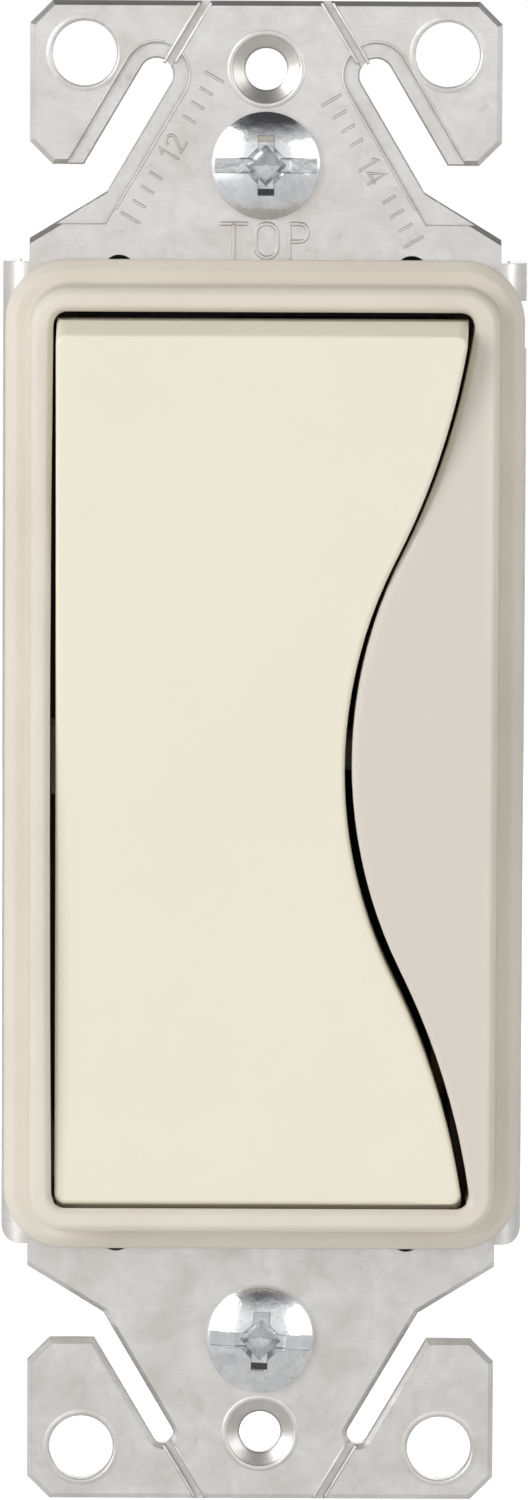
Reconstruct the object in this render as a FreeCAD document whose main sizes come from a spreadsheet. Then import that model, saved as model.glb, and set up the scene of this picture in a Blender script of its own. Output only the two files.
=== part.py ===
import FreeCAD, Part
import math
import os
import Sketcher

# Single-pole rocker wall switch on a flush-mounting strap.
# X runs across the face, Y runs back into the wall box, Z runs up.  The origin is the middle of
# the strap's back face, which lies on the wall, so the face of the switch looks along -Y.

SIZES = {
    # what the rest is measured from
    "wing_reach": 18.5,
    "box_screw_spacing": 83.34,
    # strap: one blanked and bent piece of steel sheet
    "strap_thick": 1.2,
    "strap_margin": 3.7,
    "ear_step": 1.9,
    "ear_length": 11.5,
    "ear_chamfer": 1.6,
    "edge_break": 0.35,
    "shoulder_step": 1.87,
    "shoulder_drop": 3.3,
    "ear_slot_angle": 30.5,
    "upper_slot_across": 7.72,
    "upper_slot_step": 5.2,
    "upper_slot_width": 2.36,
    "lower_slot_across": 6.95,
    "lower_slot_step": 4.7,
    "lower_slot_width": 1.5,
    "gauge_step": 0.25,
    "gauge_band": 1.1,
    "score_depth": 0.35,
    "score_width": 0.55,
    "score_inset": 0.45,
    "wing_step": 0.2,
    "wing_depth": 5.8,
    "wing_bend": 1.8,
    "wing_corner": 1.2,
    "wing_notch_step": 2.65,
    "wing_notch_height": 3.4,
    "window_step": 3.25,
    "window_end_step": 0.15,
    # holes in the strap
    "plate_screw_step": 6.75,
    "plate_screw_radius": 1.475,
    "plate_dimple_radius": 2.5,
    "plate_dimple_depth": 0.5,
    "box_slot_radius": 1.95,
    "box_slot_half": 1.2,
    "ear_hole_margin": 3.85,
    "ear_hole_step": 7.83,
    "ear_hole_radius": 2.28,
    # front frame
    "face_rise": 5.8,
    "flange_side_step": 0.22,
    "flange_step": 6.62,
    "flange_thick": 1.6,
    "flange_corner": 4.4,
    "flange_bevel": 0.75,
    "frame_side_step": 1.88,
    "frame_step": 1.85,
    "frame_corner": 2.7,
    "frame_bevel": 0.4,
    "frame_draft": 2.0,
    "opening_step": 1.65,
    "opening_side_step": 1.58,
    "opening_bow": 0.18,
    "opening_flare": 0.7,
    "opening_corner": 1.0,
    "opening_bevel": 0.35,
    "curve_waist": 6.2,
    "curve_side_step": 1.24,
    "curve_end_step": 6.39,
    "curve_waist_share": 0.386,
    "frame_wall": 1.5,
    "panel_hollow_reach": 20.0,
    "keeper_half_width": 1.35,
    "keeper_gap": 0.2,
    "ledge_half_width": 2.7,
    "keeper_thick": 1.0,
    "peg_side_step": 6.1,
    "peg_step": 0.85,
    "peg_half_width": 0.75,
    "peg_length": 4.0,
    "peg_hole_radius": 1.15,
    # rocker
    "pivot_depth": 11.58,
    "pivot_radius": 1.5,
    "arm_tip_radius": 2.4,
    "rocker_tilt": 3.0,
    "rocker_rise": 0.8,
    "rocker_end_gap": 0.9,
    "rocker_side_gap": 0.22,
    "rocker_curve_gap": 0.5,
    "rocker_sag": 1.6,
    "rocker_end_flare": 0.85,
    "rocker_skirt": 4.7,
    "rocker_wall": 1.8,
    "rocker_round": 0.3,
    "rocker_corner": 0.7,
    "arm_thick": 2.0,
    "arm_half_width": 3.0,
    "hub_radius": 3.4,
    "hub_tail": 4.4,
    # snap mechanism
    "running_gap": 0.05,
    "plunger_radius": 1.75,
    "plunger_grip": 1.5,
    "plunger_gap": 0.3,
    "plunger_tip": 0.5,
    "plunger_bore_top": 8.0,
    "spring_radius": 1.4,
    "spring_wire": 0.2,
    "spring_turns": 4.0,
    "cradle_depth": 16.6,
    "cradle_thick": 1.2,
    "cradle_half_width": 3.2,
    "cradle_up": 8.0,
    "cradle_down": 11.2,
    "cradle_lip": 0.6,
    "cradle_lip_rise": 1.2,
    "cradle_swing": 4.2,
    "fulcrum_radius": 0.6,
    "fulcrum_neck": 0.48,
    "line_strip_reach": 1.8,
    "contact_down": 9.0,
    "contact_radius": 2.0,
    "contact_thick": 1.0,
    "contact_gap": 0.03,
    "brass_thick": 1.0,
    # back body
    "body_side_gap": 0.65,
    "body_step": 1.15,
    "body_depth": 26.0,
    "body_corner": 3.0,
    "body_edge": 1.0,
    "chamber_step": 6.25,
    "chamber_up": 12.0,
    "chamber_down": 15.5,
    "saddle_length": 2.6,
    "pocket_left": 3.0,
    "pocket_step": 5.2,
    "terminal_side_step": 3.45,
    "terminal_step": 10.2,
    "terminal_half_height": 5.0,
    "terminal_depth": 12.5,
    "terminal_half_depth": 7.0,
    "clamp_half_height": 4.7,
    "clamp_half_depth": 4.9,
    "wire_hole_radius": 1.55,
    "wire_radius": 1.1,
    "wire_hole_spread": 3.4,
    "notch_side_step": 8.65,
    "notch_step": 10.0,
    "notch_depth": 10.0,
    "rivet_side_step": 6.15,
    "rivet_step": 16.2,
    "rivet_radius": 1.2,
    "rivet_head": 2.2,
    "rivet_rise": 0.6,
    "rivet_pad": 2.9,
    # screws
    "box_screw_head": 3.8,
    "box_screw_rise": 1.5,
    "box_screw_rim": 0.45,
    "box_screw_crown": 2.6,
    "box_screw_radius": 1.75,
    "box_screw_play": 0.2,
    "box_screw_neck": 1.4,
    "box_screw_length": 19.0,
    "box_screw_turn": 3.0,
    "retainer_half": 4.1,
    "retainer_thick": 0.8,
    "wire_screw_head": 3.6,
    "wire_screw_rise": 2.2,
    "wire_screw_radius": 2.05,
    "wire_screw_length": 5.5,
    "drive_slot": 1.2,
    "drive_depth": 0.9,
    "drive_cross": 4.6,
    "drive_cross_depth": 1.2,
    "ground_side_step": 4.85,
    "ground_depth": 4.7,
    "ground_tab_half": 3.3,
    "ground_tab_depth": 8.5,
    "ground_tab_step": 4.8,
    "ground_window_step": 7.4,
}

doc = FreeCAD.newDocument("WallSwitch")
sheet = doc.addObject("Spreadsheet::Sheet", "Sizes")
for row, (alias, number) in enumerate(SIZES.items(), 1):
    sheet.set(f"A{row}", alias)
    sheet.set(f"B{row}", str(number))
    sheet.setAlias(f"B{row}", alias)
doc.recompute()


class Formula:
    """A number together with the spreadsheet expression that gives it."""

    def __init__(self, value, text):
        self.value = value
        self.text = text

    def __add__(self, other):
        other = formula(other)
        return Formula(self.value + other.value, f"({self.text} + {other.text})")

    def __sub__(self, other):
        other = formula(other)
        return Formula(self.value - other.value, f"({self.text} - {other.text})")

    def __rsub__(self, other):
        return formula(other) - self

    def __mul__(self, other):
        other = formula(other)
        return Formula(self.value * other.value, f"{self.text} * {other.text}")

    def __truediv__(self, other):
        other = formula(other)
        return Formula(self.value / other.value, f"{self.text} / ({other.text})")

    def __neg__(self):
        return Formula(-self.value, f"(0 - {self.text})")


PAST = 1             # how far a through cut runs past the material
NEAR = 0.01          # how closely an edge is matched


def formula(number):
    if isinstance(number, Formula):
        return number
    return Formula(float(number), f"({number})" if number < 0 else f"{number}")


def size(alias):
    return Formula(float(sheet.get(alias)), f"Sizes.{alias}")


def sine(angle):
    return Formula(math.sin(math.radians(angle.value)), f"sin({angle.text})")


def cosine(angle):
    return Formula(math.cos(math.radians(angle.value)), f"cos({angle.text})")


def tangent(angle):
    return Formula(math.tan(math.radians(angle.value)), f"tan({angle.text})")


def root(square):
    return Formula(math.sqrt(square.value), f"sqrt({square.text})")


def other_leg(radius, leg):
    """The second leg of a right triangle, from its hypotenuse and first leg."""
    return root(radius * radius - leg * leg)


def sag_radius(half_chord, sag):
    """The radius of an arc from half its chord and its height."""
    return (half_chord * half_chord + sag * sag) / (sag * 2)


# ---------------------------------------------------------------- drawing and feature helpers

# sketch plane: its role in a body's origin, and which way its normal points along the world axis
PLANES = {"XZ": ("XZ_Plane", -1), "YZ": ("YZ_Plane", 1), "XY": ("XY_Plane", 1)}
ZERO = formula(0)
cuts = []


def new_body(label):
    body = doc.addObject("PartDesign::Body", label)
    body.Label = label
    return body


def bind(thing, name, value):
    thing.setExpression(name, formula(value).text)


def arc_curve(start, end, radius, turn):
    """The shorter arc between two points; turn is 1 for anticlockwise and -1 for clockwise."""
    across = end[0] - start[0]
    along = end[1] - start[1]
    chord = math.hypot(across, along)
    rise = turn * math.sqrt(max(radius * radius - chord * chord / 4, 0.0))
    middle_x = (start[0] + end[0]) / 2 - rise * along / chord
    middle_y = (start[1] + end[1]) / 2 + rise * across / chord
    first = math.atan2(start[1] - middle_y, start[0] - middle_x)
    last = math.atan2(end[1] - middle_y, end[0] - middle_x)
    if turn < 0:
        first, last = last, first
    circle = Part.Circle(FreeCAD.Vector(middle_x, middle_y, 0), FreeCAD.Vector(0, 0, 1), radius)
    return Part.ArcOfCircle(circle, first, last)


def fix(drawing, kind, arguments, value):
    number = drawing.addConstraint(Sketcher.Constraint(kind, *arguments, value.value))
    drawing.setExpression(f"Constraints[{number}]", value.text)


def draw_circle(drawing, across, along, radius):
    centre = FreeCAD.Vector(across.value, along.value, 0)
    curve = drawing.addGeometry(Part.Circle(centre, FreeCAD.Vector(0, 0, 1), radius.value))
    fix(drawing, "DistanceX", (-1, 1, curve, 3), across)
    fix(drawing, "DistanceY", (-1, 1, curve, 3), along)
    fix(drawing, "Radius", (curve,), radius)


def draw_loop(drawing, corners):
    """A closed loop.  A corner is (x, y), or (x, y, radius, turn) where an arc leads to it."""
    edges = []
    for number, corner in enumerate(corners):
        before = corners[number - 1]
        start = (before[0].value, before[1].value)
        end = (corner[0].value, corner[1].value)
        if len(corner) == 2:
            line = Part.LineSegment(FreeCAD.Vector(*start, 0), FreeCAD.Vector(*end, 0))
            edges.append((drawing.addGeometry(line), 1, 2))
        else:
            radius, turn = corner[2:]
            curve = drawing.addGeometry(arc_curve(start, end, radius.value, turn))
            edges.append((curve, 1, 2) if turn > 0 else (curve, 2, 1))
            fix(drawing, "Radius", (curve,), radius)
    for number, corner in enumerate(corners):
        curve, _, end = edges[number]
        following, start, _ = edges[(number + 1) % len(edges)]
        drawing.addConstraint(Sketcher.Constraint("Coincident", curve, end, following, start))
        fix(drawing, "DistanceX", (-1, 1, curve, end), corner[0])
        fix(drawing, "DistanceY", (-1, 1, curve, end), corner[1])


def sketch(body, name, plane, level, loops):
    """A sketch on one of the body's own planes, moved to a level along the world axis."""
    role, sign = PLANES[plane]
    drawing = body.newObject("Sketcher::SketchObject", f"{body.Name}_{name}_sketch")
    support = [item for item in body.Origin.OriginFeatures if item.Role == role][0]
    drawing.AttachmentSupport = [(support, "")]
    drawing.MapMode = "FlatFace"
    bind(drawing, "AttachmentOffset.Base.z", formula(level) * sign)
    for loop in loops:
        if loop[0] == "circle":
            draw_circle(drawing, *[formula(value) for value in loop[1:]])
        else:
            corners = [
                tuple(formula(value) if place < 3 else value for place, value in enumerate(corner))
                for corner in loop
            ]
            draw_loop(drawing, corners)
    return drawing


def pad(body, name, plane, low, high, loops):
    """Material between two levels along the plane's world axis."""
    feature = body.newObject("PartDesign::Pad", f"{body.Name}_{name}")
    feature.Profile = sketch(body, name, plane, low, loops)
    feature.Reversed = PLANES[plane][1] < 0
    bind(feature, "Length", formula(high) - low)
    return feature


def pocket(body, name, plane, low, high, loops):
    """A cut between two levels along the plane's world axis."""
    before = body.Tip
    feature = body.newObject("PartDesign::Pocket", f"{body.Name}_{name}")
    feature.Profile = sketch(body, name, plane, low, loops)
    feature.Reversed = PLANES[plane][1] > 0
    bind(feature, "Length", formula(high) - low)
    cuts.append((before, feature))
    return feature


def revolve(body, name, plane, axis, loop, level=ZERO):
    """A turned form: a loop spun about the sketch's H_Axis or V_Axis."""
    feature = body.newObject("PartDesign::Revolution", f"{body.Name}_{name}")
    drawing = sketch(body, name, plane, level, [loop])
    feature.Profile = drawing
    feature.ReferenceAxis = (drawing, [axis])
    feature.Angle = 360
    return feature


def groove(body, name, plane, axis, loop, level=ZERO):
    before = body.Tip
    feature = body.newObject("PartDesign::Groove", f"{body.Name}_{name}")
    drawing = sketch(body, name, plane, level, [loop])
    feature.Profile = drawing
    feature.ReferenceAxis = (drawing, [axis])
    feature.Angle = 360
    cuts.append((before, feature))
    return feature


def dress_edges(body, kind, name, measure, choose):
    """Fillet or chamfer the edges of the body so far that choose() accepts."""
    doc.recompute()
    base = body.Tip
    chosen = [f"Edge{number}" for number, edge in enumerate(base.Shape.Edges, 1) if choose(edge)]
    if not chosen:
        raise RuntimeError(f"{body.Label}: no edge found for {name}")
    feature = body.newObject(f"PartDesign::{kind}", f"{body.Name}_{name}")
    feature.Base = (base, chosen)
    bind(feature, "Radius" if kind == "Fillet" else "Size", measure)
    return feature


def round_edges(body, name, radius, choose):
    return dress_edges(body, "Fillet", name, radius, choose)


def bevel_edges(body, name, width, choose):
    return dress_edges(body, "Chamfer", name, width, choose)


def box_loop(left, right, low, high):
    return [(left, low), (right, low), (right, high), (left, high)]


def square_loop(across, along, half):
    """A square about a point."""
    return box_loop(across - half, across + half, along - half, along + half)


def rounded_loop(half_width, half_height, radius):
    """A rectangle about the origin with round corners."""
    inner_x = formula(half_width) - radius
    inner_y = formula(half_height) - radius
    return [
        (inner_x, -half_height),
        (half_width, -inner_y, radius, 1),
        (half_width, inner_y),
        (inner_x, half_height, radius, 1),
        (-inner_x, half_height),
        (-half_width, inner_y, radius, 1),
        (-half_width, -inner_y),
        (-inner_x, -half_height, radius, 1),
    ]


def mirrored(corners, flip_x=False, flip_y=False):
    """The same run of corners walked backwards on the other side of an axis."""
    result = []
    arc = ()
    for corner in reversed(corners):
        across = -corner[0] if flip_x else corner[0]
        along = -corner[1] if flip_y else corner[1]
        result.append((across, along) + arc)
        arc = corner[2:]
    return result


def flat_at(edge, axis, level, slack=1e-4):
    """Whether an edge lies in the plane at a level along X (0), Y (1) or Z (2)."""
    bounds = edge.BoundBox
    low = (bounds.XMin, bounds.YMin, bounds.ZMin)[axis]
    high = (bounds.XMax, bounds.YMax, bounds.ZMax)[axis]
    return abs(low - level.value) < slack and abs(high - level.value) < slack


def upright(edge, height):
    """Whether an edge runs along Y at a height above or below the middle."""
    bounds = edge.BoundBox
    off = abs(abs(bounds.Center.z) - height.value)
    return bounds.YLength > PAST and off < bounds.ZLength / 2 + NEAR


def within(edge, half_width, half_height, slack=NEAR):
    """Whether an edge lies inside a rectangle about the middle, seen from the front."""
    bounds = edge.BoundBox
    reach_x = max(abs(bounds.XMin), abs(bounds.XMax))
    reach_z = max(abs(bounds.ZMin), abs(bounds.ZMax))
    return reach_x < half_width.value + slack and reach_z < half_height.value + slack


# ---------------------------------------------------------------- shared levels

strap_front = -size("strap_thick")
face_level = strap_front - size("face_rise")
flange_level = strap_front - size("flange_thick")
pivot_level = face_level + size("pivot_depth")

# heights on the strap, all from the mounting screws' own spacing
box_screw_up = size("box_screw_spacing") / 2
plate_screw_up = box_screw_up + size("plate_screw_step")
ear_hole_up = box_screw_up + size("ear_hole_step")
strap_end = ear_hole_up + size("strap_margin")
ear_end = strap_end - size("ear_length")
upper_slot_up = strap_end - size("upper_slot_step")
lower_slot_up = strap_end - size("lower_slot_step")
shoulder_inner = box_screw_up - size("shoulder_step")
shoulder_outer = shoulder_inner - size("shoulder_drop")

# heights of the frame, the rocker and the body
flange_top = box_screw_up - size("flange_step")
wing_top = flange_top - size("wing_step")
wing_notch_high = wing_top - size("wing_notch_step")
wing_notch_low = wing_notch_high - size("wing_notch_height")
frame_top = flange_top - size("frame_step")
opening_top = frame_top - size("opening_step")
window_end = opening_top - size("window_end_step")
rocker_top = opening_top - size("rocker_end_gap")
peg_up = flange_top - size("peg_step")
body_top = flange_top + size("body_step")
pocket_end = body_top - size("pocket_step")
terminal_up = body_top - size("terminal_step")
rivet_up = body_top - size("rivet_step")
notch_up = body_top - size("notch_step")
ground_tab_at = body_top - size("ground_tab_step")
ground_window_up = ground_tab_at - size("ground_window_step")

# widths, all from the outside of the strap's wings
ear_reach = size("wing_reach") - size("ear_step")
ear_hole_across = ear_reach - size("ear_hole_margin")
flange_side = size("wing_reach") - size("flange_side_step")
frame_side = flange_side - size("frame_side_step")
opening_left = frame_side - size("opening_side_step")
rocker_left = opening_left - size("rocker_side_gap")
peg_across = frame_side - size("peg_side_step")
body_side = size("wing_reach") - size("strap_thick") - size("body_side_gap")
window_side = body_side - size("window_step")
chamber_side = body_side - size("chamber_step")
terminal_across = body_side - size("terminal_side_step")
rivet_across = body_side - size("rivet_side_step")
ground_across = body_side - size("ground_side_step")
notch_across = body_side - size("notch_side_step")

# pivot to the rocker's front edges, measured square to its face
rocker_front = size("pivot_depth") + size("rocker_rise")

# the contact cradle swings by the same number of steps as the rocker tilts
cradle_front = size("cradle_depth") - size("cradle_thick")
plunger_tip = cradle_front - size("plunger_gap") - pivot_level
closed_reach = (
    size("contact_thick") * cosine(size("cradle_swing"))
    + (size("contact_down") + size("contact_radius")) * sine(size("cradle_swing"))
)
fixed_contact_level = size("cradle_depth") + closed_reach + size("contact_gap")
arm_level = fixed_contact_level + size("contact_thick")
floor_level = arm_level + size("brass_thick")


# quarters of the face whose peg goes on into the body
BODY_PEGS = ((-1, 1), (1, -1), (1, 1))


def curve_loop(grow, left, bow, half_height):
    """The face opening: straight left side and an S-shaped right side of three tangent arcs.

    grow moves the curve outwards from the opening's own edge, and half_height ends the loop.
    """
    swing = frame_side - size("curve_side_step") - size("curve_waist")
    height = opening_top + size("curve_end_step")
    both = sag_radius(height, swing)
    lean_across = formula(1) - swing / both
    lean_up = height / both
    waist_radius = both * size("curve_waist_share") - grow
    end_radius = both - both * size("curve_waist_share") + grow
    centre_x = size("curve_waist") + both * size("curve_waist_share")
    bend_x = centre_x - waist_radius * lean_across
    bend_y = waist_radius * lean_up
    end_centre_x = bend_x - end_radius * lean_across
    end_centre_y = bend_y + end_radius * lean_up
    end_x = end_centre_x + other_leg(end_radius, end_centre_y - half_height)
    left_edge = (-left, -half_height)
    if bow is not None:
        left_edge = (-left, -half_height, sag_radius(half_height, bow), 1)
    return [
        left_edge,
        (end_x, -half_height),
        (bend_x, -bend_y, end_radius, 1),
        (bend_x, bend_y, waist_radius, -1),
        (end_x, half_height, end_radius, 1),
        (-left, half_height),
    ]


def beside_curve(grow, right, reach):
    """The area between the S-shaped edge, moved right by grow, and a straight line."""
    lower_end, lower_bend, upper_bend, upper_end = curve_loop(grow, ZERO, None, reach)[1:5]
    return [
        (lower_end[0], -reach, lower_bend[2], -1),
        (right, -reach),
        (right, reach),
        (upper_end[0], reach),
        (upper_bend[0], upper_bend[1], upper_end[2], -1),
        (lower_bend[0], lower_bend[1], upper_bend[2], 1),
    ]


# ---------------------------------------------------------------- mounting strap

def slot_quarter(across, up, width):
    """A quarter of the strap's outline: ear, slanted slot and shoulder, from the end inwards."""
    angle = size("ear_slot_angle")
    radius = width / 2
    side_x = radius * cosine(angle)
    side_y = radius * sine(angle)
    drop = up - ear_end
    shoulder_drop = up - shoulder_inner
    run_out = radius / cosine(angle)
    chamfer = size("ear_chamfer")
    return [
        (ear_reach - chamfer, strap_end),
        (ear_reach, strap_end - chamfer),
        (ear_reach, ear_end + chamfer),
        (ear_reach - chamfer, ear_end),
        (across + drop * tangent(angle) + run_out, ear_end),
        (across + side_x, up + side_y),
        (across - side_y, up + side_x, radius, 1),
        (across - side_x, up - side_y, radius, 1),
        (across + shoulder_drop * tangent(angle) - run_out, shoulder_inner),
        (ear_reach, shoulder_outer),
    ]


def score_loop(across, up, side):
    """A narrow groove from the end of an ear slot to the strap's end, for snapping the ear off."""
    angle = size("ear_slot_angle")
    half = size("score_width") / 2
    half_x = half / cosine(angle)
    reach = strap_end + PAST
    top_x = across - (reach - up) * tangent(angle)
    low = up + size("upper_slot_width") / 4
    low_x = across - (low - up) * tangent(angle)
    loop = [(low_x - half_x, low), (low_x + half_x, low), (top_x + half_x, reach), (top_x - half_x, reach)]
    return [(x * side, y) for x, y in loop]


def gauge_loop(side):
    """The shallow coined band round an upper ear slot that shows how much wire to strip."""
    angle = size("ear_slot_angle")
    across = size("upper_slot_across")
    up = upper_slot_up
    radius = size("upper_slot_width") / 2 + size("gauge_band")
    side_x = radius * cosine(angle)
    side_y = radius * sine(angle)
    low = shoulder_outer + PAST
    drop = up - low
    run_out = radius / cosine(angle)
    corners = [
        (across + drop * tangent(angle) + run_out, low),
        (across + side_x, up + side_y),
        (across - side_y, up + side_x, radius, 1),
        (across - side_x, up - side_y, radius, 1),
        (across + drop * tangent(angle) - run_out, low),
    ]
    if side > 0:
        return corners
    return [(-corner[0], corner[1]) + ((corner[2], -1) if len(corner) > 2 else ()) for corner in corners]


def make_strap():
    body = new_body("mounting_strap")
    top = slot_quarter(size("upper_slot_across"), upper_slot_up, size("upper_slot_width"))
    bottom = slot_quarter(size("lower_slot_across"), lower_slot_up, size("lower_slot_width"))
    right = top + mirrored(bottom, flip_y=True)
    outline = right + mirrored(right, flip_x=True)
    pad(body, "plate", "XZ", strap_front, 0, [outline])

    # the two long wings, bent back along the sides of the body
    reach = size("wing_reach")
    outer = size("wing_bend")
    inner = outer - size("strap_thick")
    wall = reach - size("strap_thick")
    side = [
        (reach - outer, strap_front),
        (reach, strap_front + outer, outer, 1),
        (reach, size("wing_depth")),
        (wall, size("wing_depth")),
        (wall, inner),
        (wall - inner, 0, inner, -1),
    ]
    tall = wing_top
    pad(body, "wings", "XY", -tall, tall, [side + mirrored(side, flip_x=True)])
    past_wings = shoulder_inner - PAST * 2
    bevel_edges(
        body,
        "blank_edges",
        size("edge_break"),
        lambda edge: flat_at(edge, 1, strap_front)
        and abs(edge.BoundBox.Center.z) > past_wings.value,
    )

    # lower corners of the wings
    corner = size("wing_corner")
    low = wing_top
    over = reach + PAST
    right_corner = [
        (reach - corner, -low),
        (reach, corner - low, corner, 1),
        (over, corner - low),
        (over, -low - PAST),
        (reach - corner, -low - PAST),
    ]
    corners = [right_corner, mirrored(right_corner, flip_x=True)]
    pocket(body, "wing_corners", "XZ", strap_front - PAST, size("wing_depth") + PAST, corners)
    notch = box_loop(wall - inner, over, wing_notch_low, wing_notch_high)
    pocket(body, "wing_notch", "XZ", strap_front - PAST, size("wing_depth") + PAST, [notch])

    # one large window that leaves a pad under each rivet head, and the ground tab's own
    pad_end = size("rivet_pad") - rivet_across
    pad_high = rivet_up + size("rivet_pad")
    pad_low = rivet_up - size("rivet_pad")
    window_half = [
        (window_side, window_end),
        (-window_side, window_end),
        (-window_side, pad_high),
        (pad_end, pad_high),
        (pad_end, pad_low),
        (-window_side, pad_low),
    ]
    window = window_half + mirrored(window_half, flip_y=True)
    tab_left = -ground_across - size("ground_tab_half")
    tab_right = -ground_across + size("ground_tab_half")
    lance = box_loop(
        tab_left - size("edge_break"),
        tab_right + size("edge_break"),
        -ground_tab_at,
        -ground_window_up,
    )
    pegs = [
        ("circle", peg_across * x, peg_up * z, size("peg_hole_radius"))
        for x in (-1, 1)
        for z in (-1, 1)
    ]
    rivets = [
        ("circle", -rivet_across, rivet_up * z, size("rivet_radius"))
        for z in (-1, 1)
    ]
    through = strap_front - PAST
    pocket(body, "window", "XZ", through, 1, [window])
    pocket(body, "lance", "XZ", through, 1, [lance])
    pocket(body, "small_holes", "XZ", through, 1, pegs + rivets)
    half = size("box_slot_half")
    radius = size("box_slot_radius")
    slots = []
    for side_z in (-1, 1):
        middle = box_screw_up * side_z
        slots.append(
            [
                (half, middle - radius),
                (half + radius, middle, radius, 1),
                (half, middle + radius, radius, 1),
                (-half, middle + radius),
                (-half - radius, middle, radius, 1),
                (-half, middle - radius, radius, 1),
            ]
        )
    pocket(body, "box_screw_slots", "XZ", through, 1, slots)
    ear_holes = [
        ("circle", ear_hole_across * x, ear_hole_up * z, size("ear_hole_radius"))
        for x in (-1, 1)
        for z in (-1, 1)
    ]
    plate_holes = [
        ("circle", ZERO, plate_screw_up * z, size("plate_screw_radius")) for z in (-1, 1)
    ]
    pocket(body, "screw_holes", "XZ", through, 1, ear_holes + plate_holes)
    # sunk seats round the plate-screw holes
    for number, side_z in enumerate((-1, 1)):
        middle = plate_screw_up * side_z
        seat = [
            (strap_front, middle),
            (strap_front + size("plate_dimple_depth"), middle),
            (strap_front + size("plate_dimple_depth"), middle + size("plate_screw_radius")),
            (strap_front, middle + size("plate_dimple_radius")),
        ]
        spin_seat(body, f"plate_seat_{number}", seat, middle)

    # ground terminal: a tab lanced out of the strap and bent back
    tab_low = -ground_tab_at - size("strap_thick")
    tab_loop = [
        (strap_front + size("strap_thick") / 2, tab_low),
        (size("ground_tab_depth"), tab_low),
        (size("ground_tab_depth"), -ground_tab_at),
        (strap_front + size("strap_thick") / 2, -ground_tab_at),
    ]
    pad(body, "ground_tab", "YZ", tab_left, tab_right, [tab_loop])
    tab_bore = size("wire_screw_radius") + size("running_gap")
    tab_hole = ("circle", -ground_across, size("ground_depth"), tab_bore)
    pocket(body, "ground_hole", "XY", tab_low - PAST, PAST - ground_tab_at, [tab_hole])

    # shallow bands and break-off scores on the front
    bands = [gauge_loop(1), gauge_loop(-1)]
    pocket(body, "gauge_bands", "XZ", strap_front - PAST, strap_front + size("gauge_step"), bands)
    scores = []
    for side_x in (-1, 1):
        upper = score_loop(size("upper_slot_across") - size("score_inset"), upper_slot_up, side_x)
        scores.append(upper)
        lower = score_loop(size("lower_slot_across"), lower_slot_up, side_x)
        scores.append([(x, -y) for x, y in lower])
    pocket(body, "scores", "XZ", strap_front - PAST, strap_front + size("score_depth"), scores)
    return body


def spin_seat(body, name, seat, middle):
    """A turned cut about an axis along Y at height middle."""
    before = body.Tip
    drawing = sketch(body, name, "YZ", ZERO, [seat])
    feature = body.newObject("PartDesign::Groove", f"{body.Name}_{name}")
    feature.Profile = drawing
    edge = drawing.addGeometry(
        Part.LineSegment(FreeCAD.Vector(-1, middle.value, 0), FreeCAD.Vector(1, middle.value, 0)), True
    )
    fix(drawing, "DistanceY", (-1, 1, edge, 1), middle)
    fix(drawing, "DistanceY", (-1, 1, edge, 2), middle)
    feature.ReferenceAxis = (drawing, ["Axis0"])
    feature.Angle = 360
    cuts.append((before, feature))
    return feature


# ---------------------------------------------------------------- front frame

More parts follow.
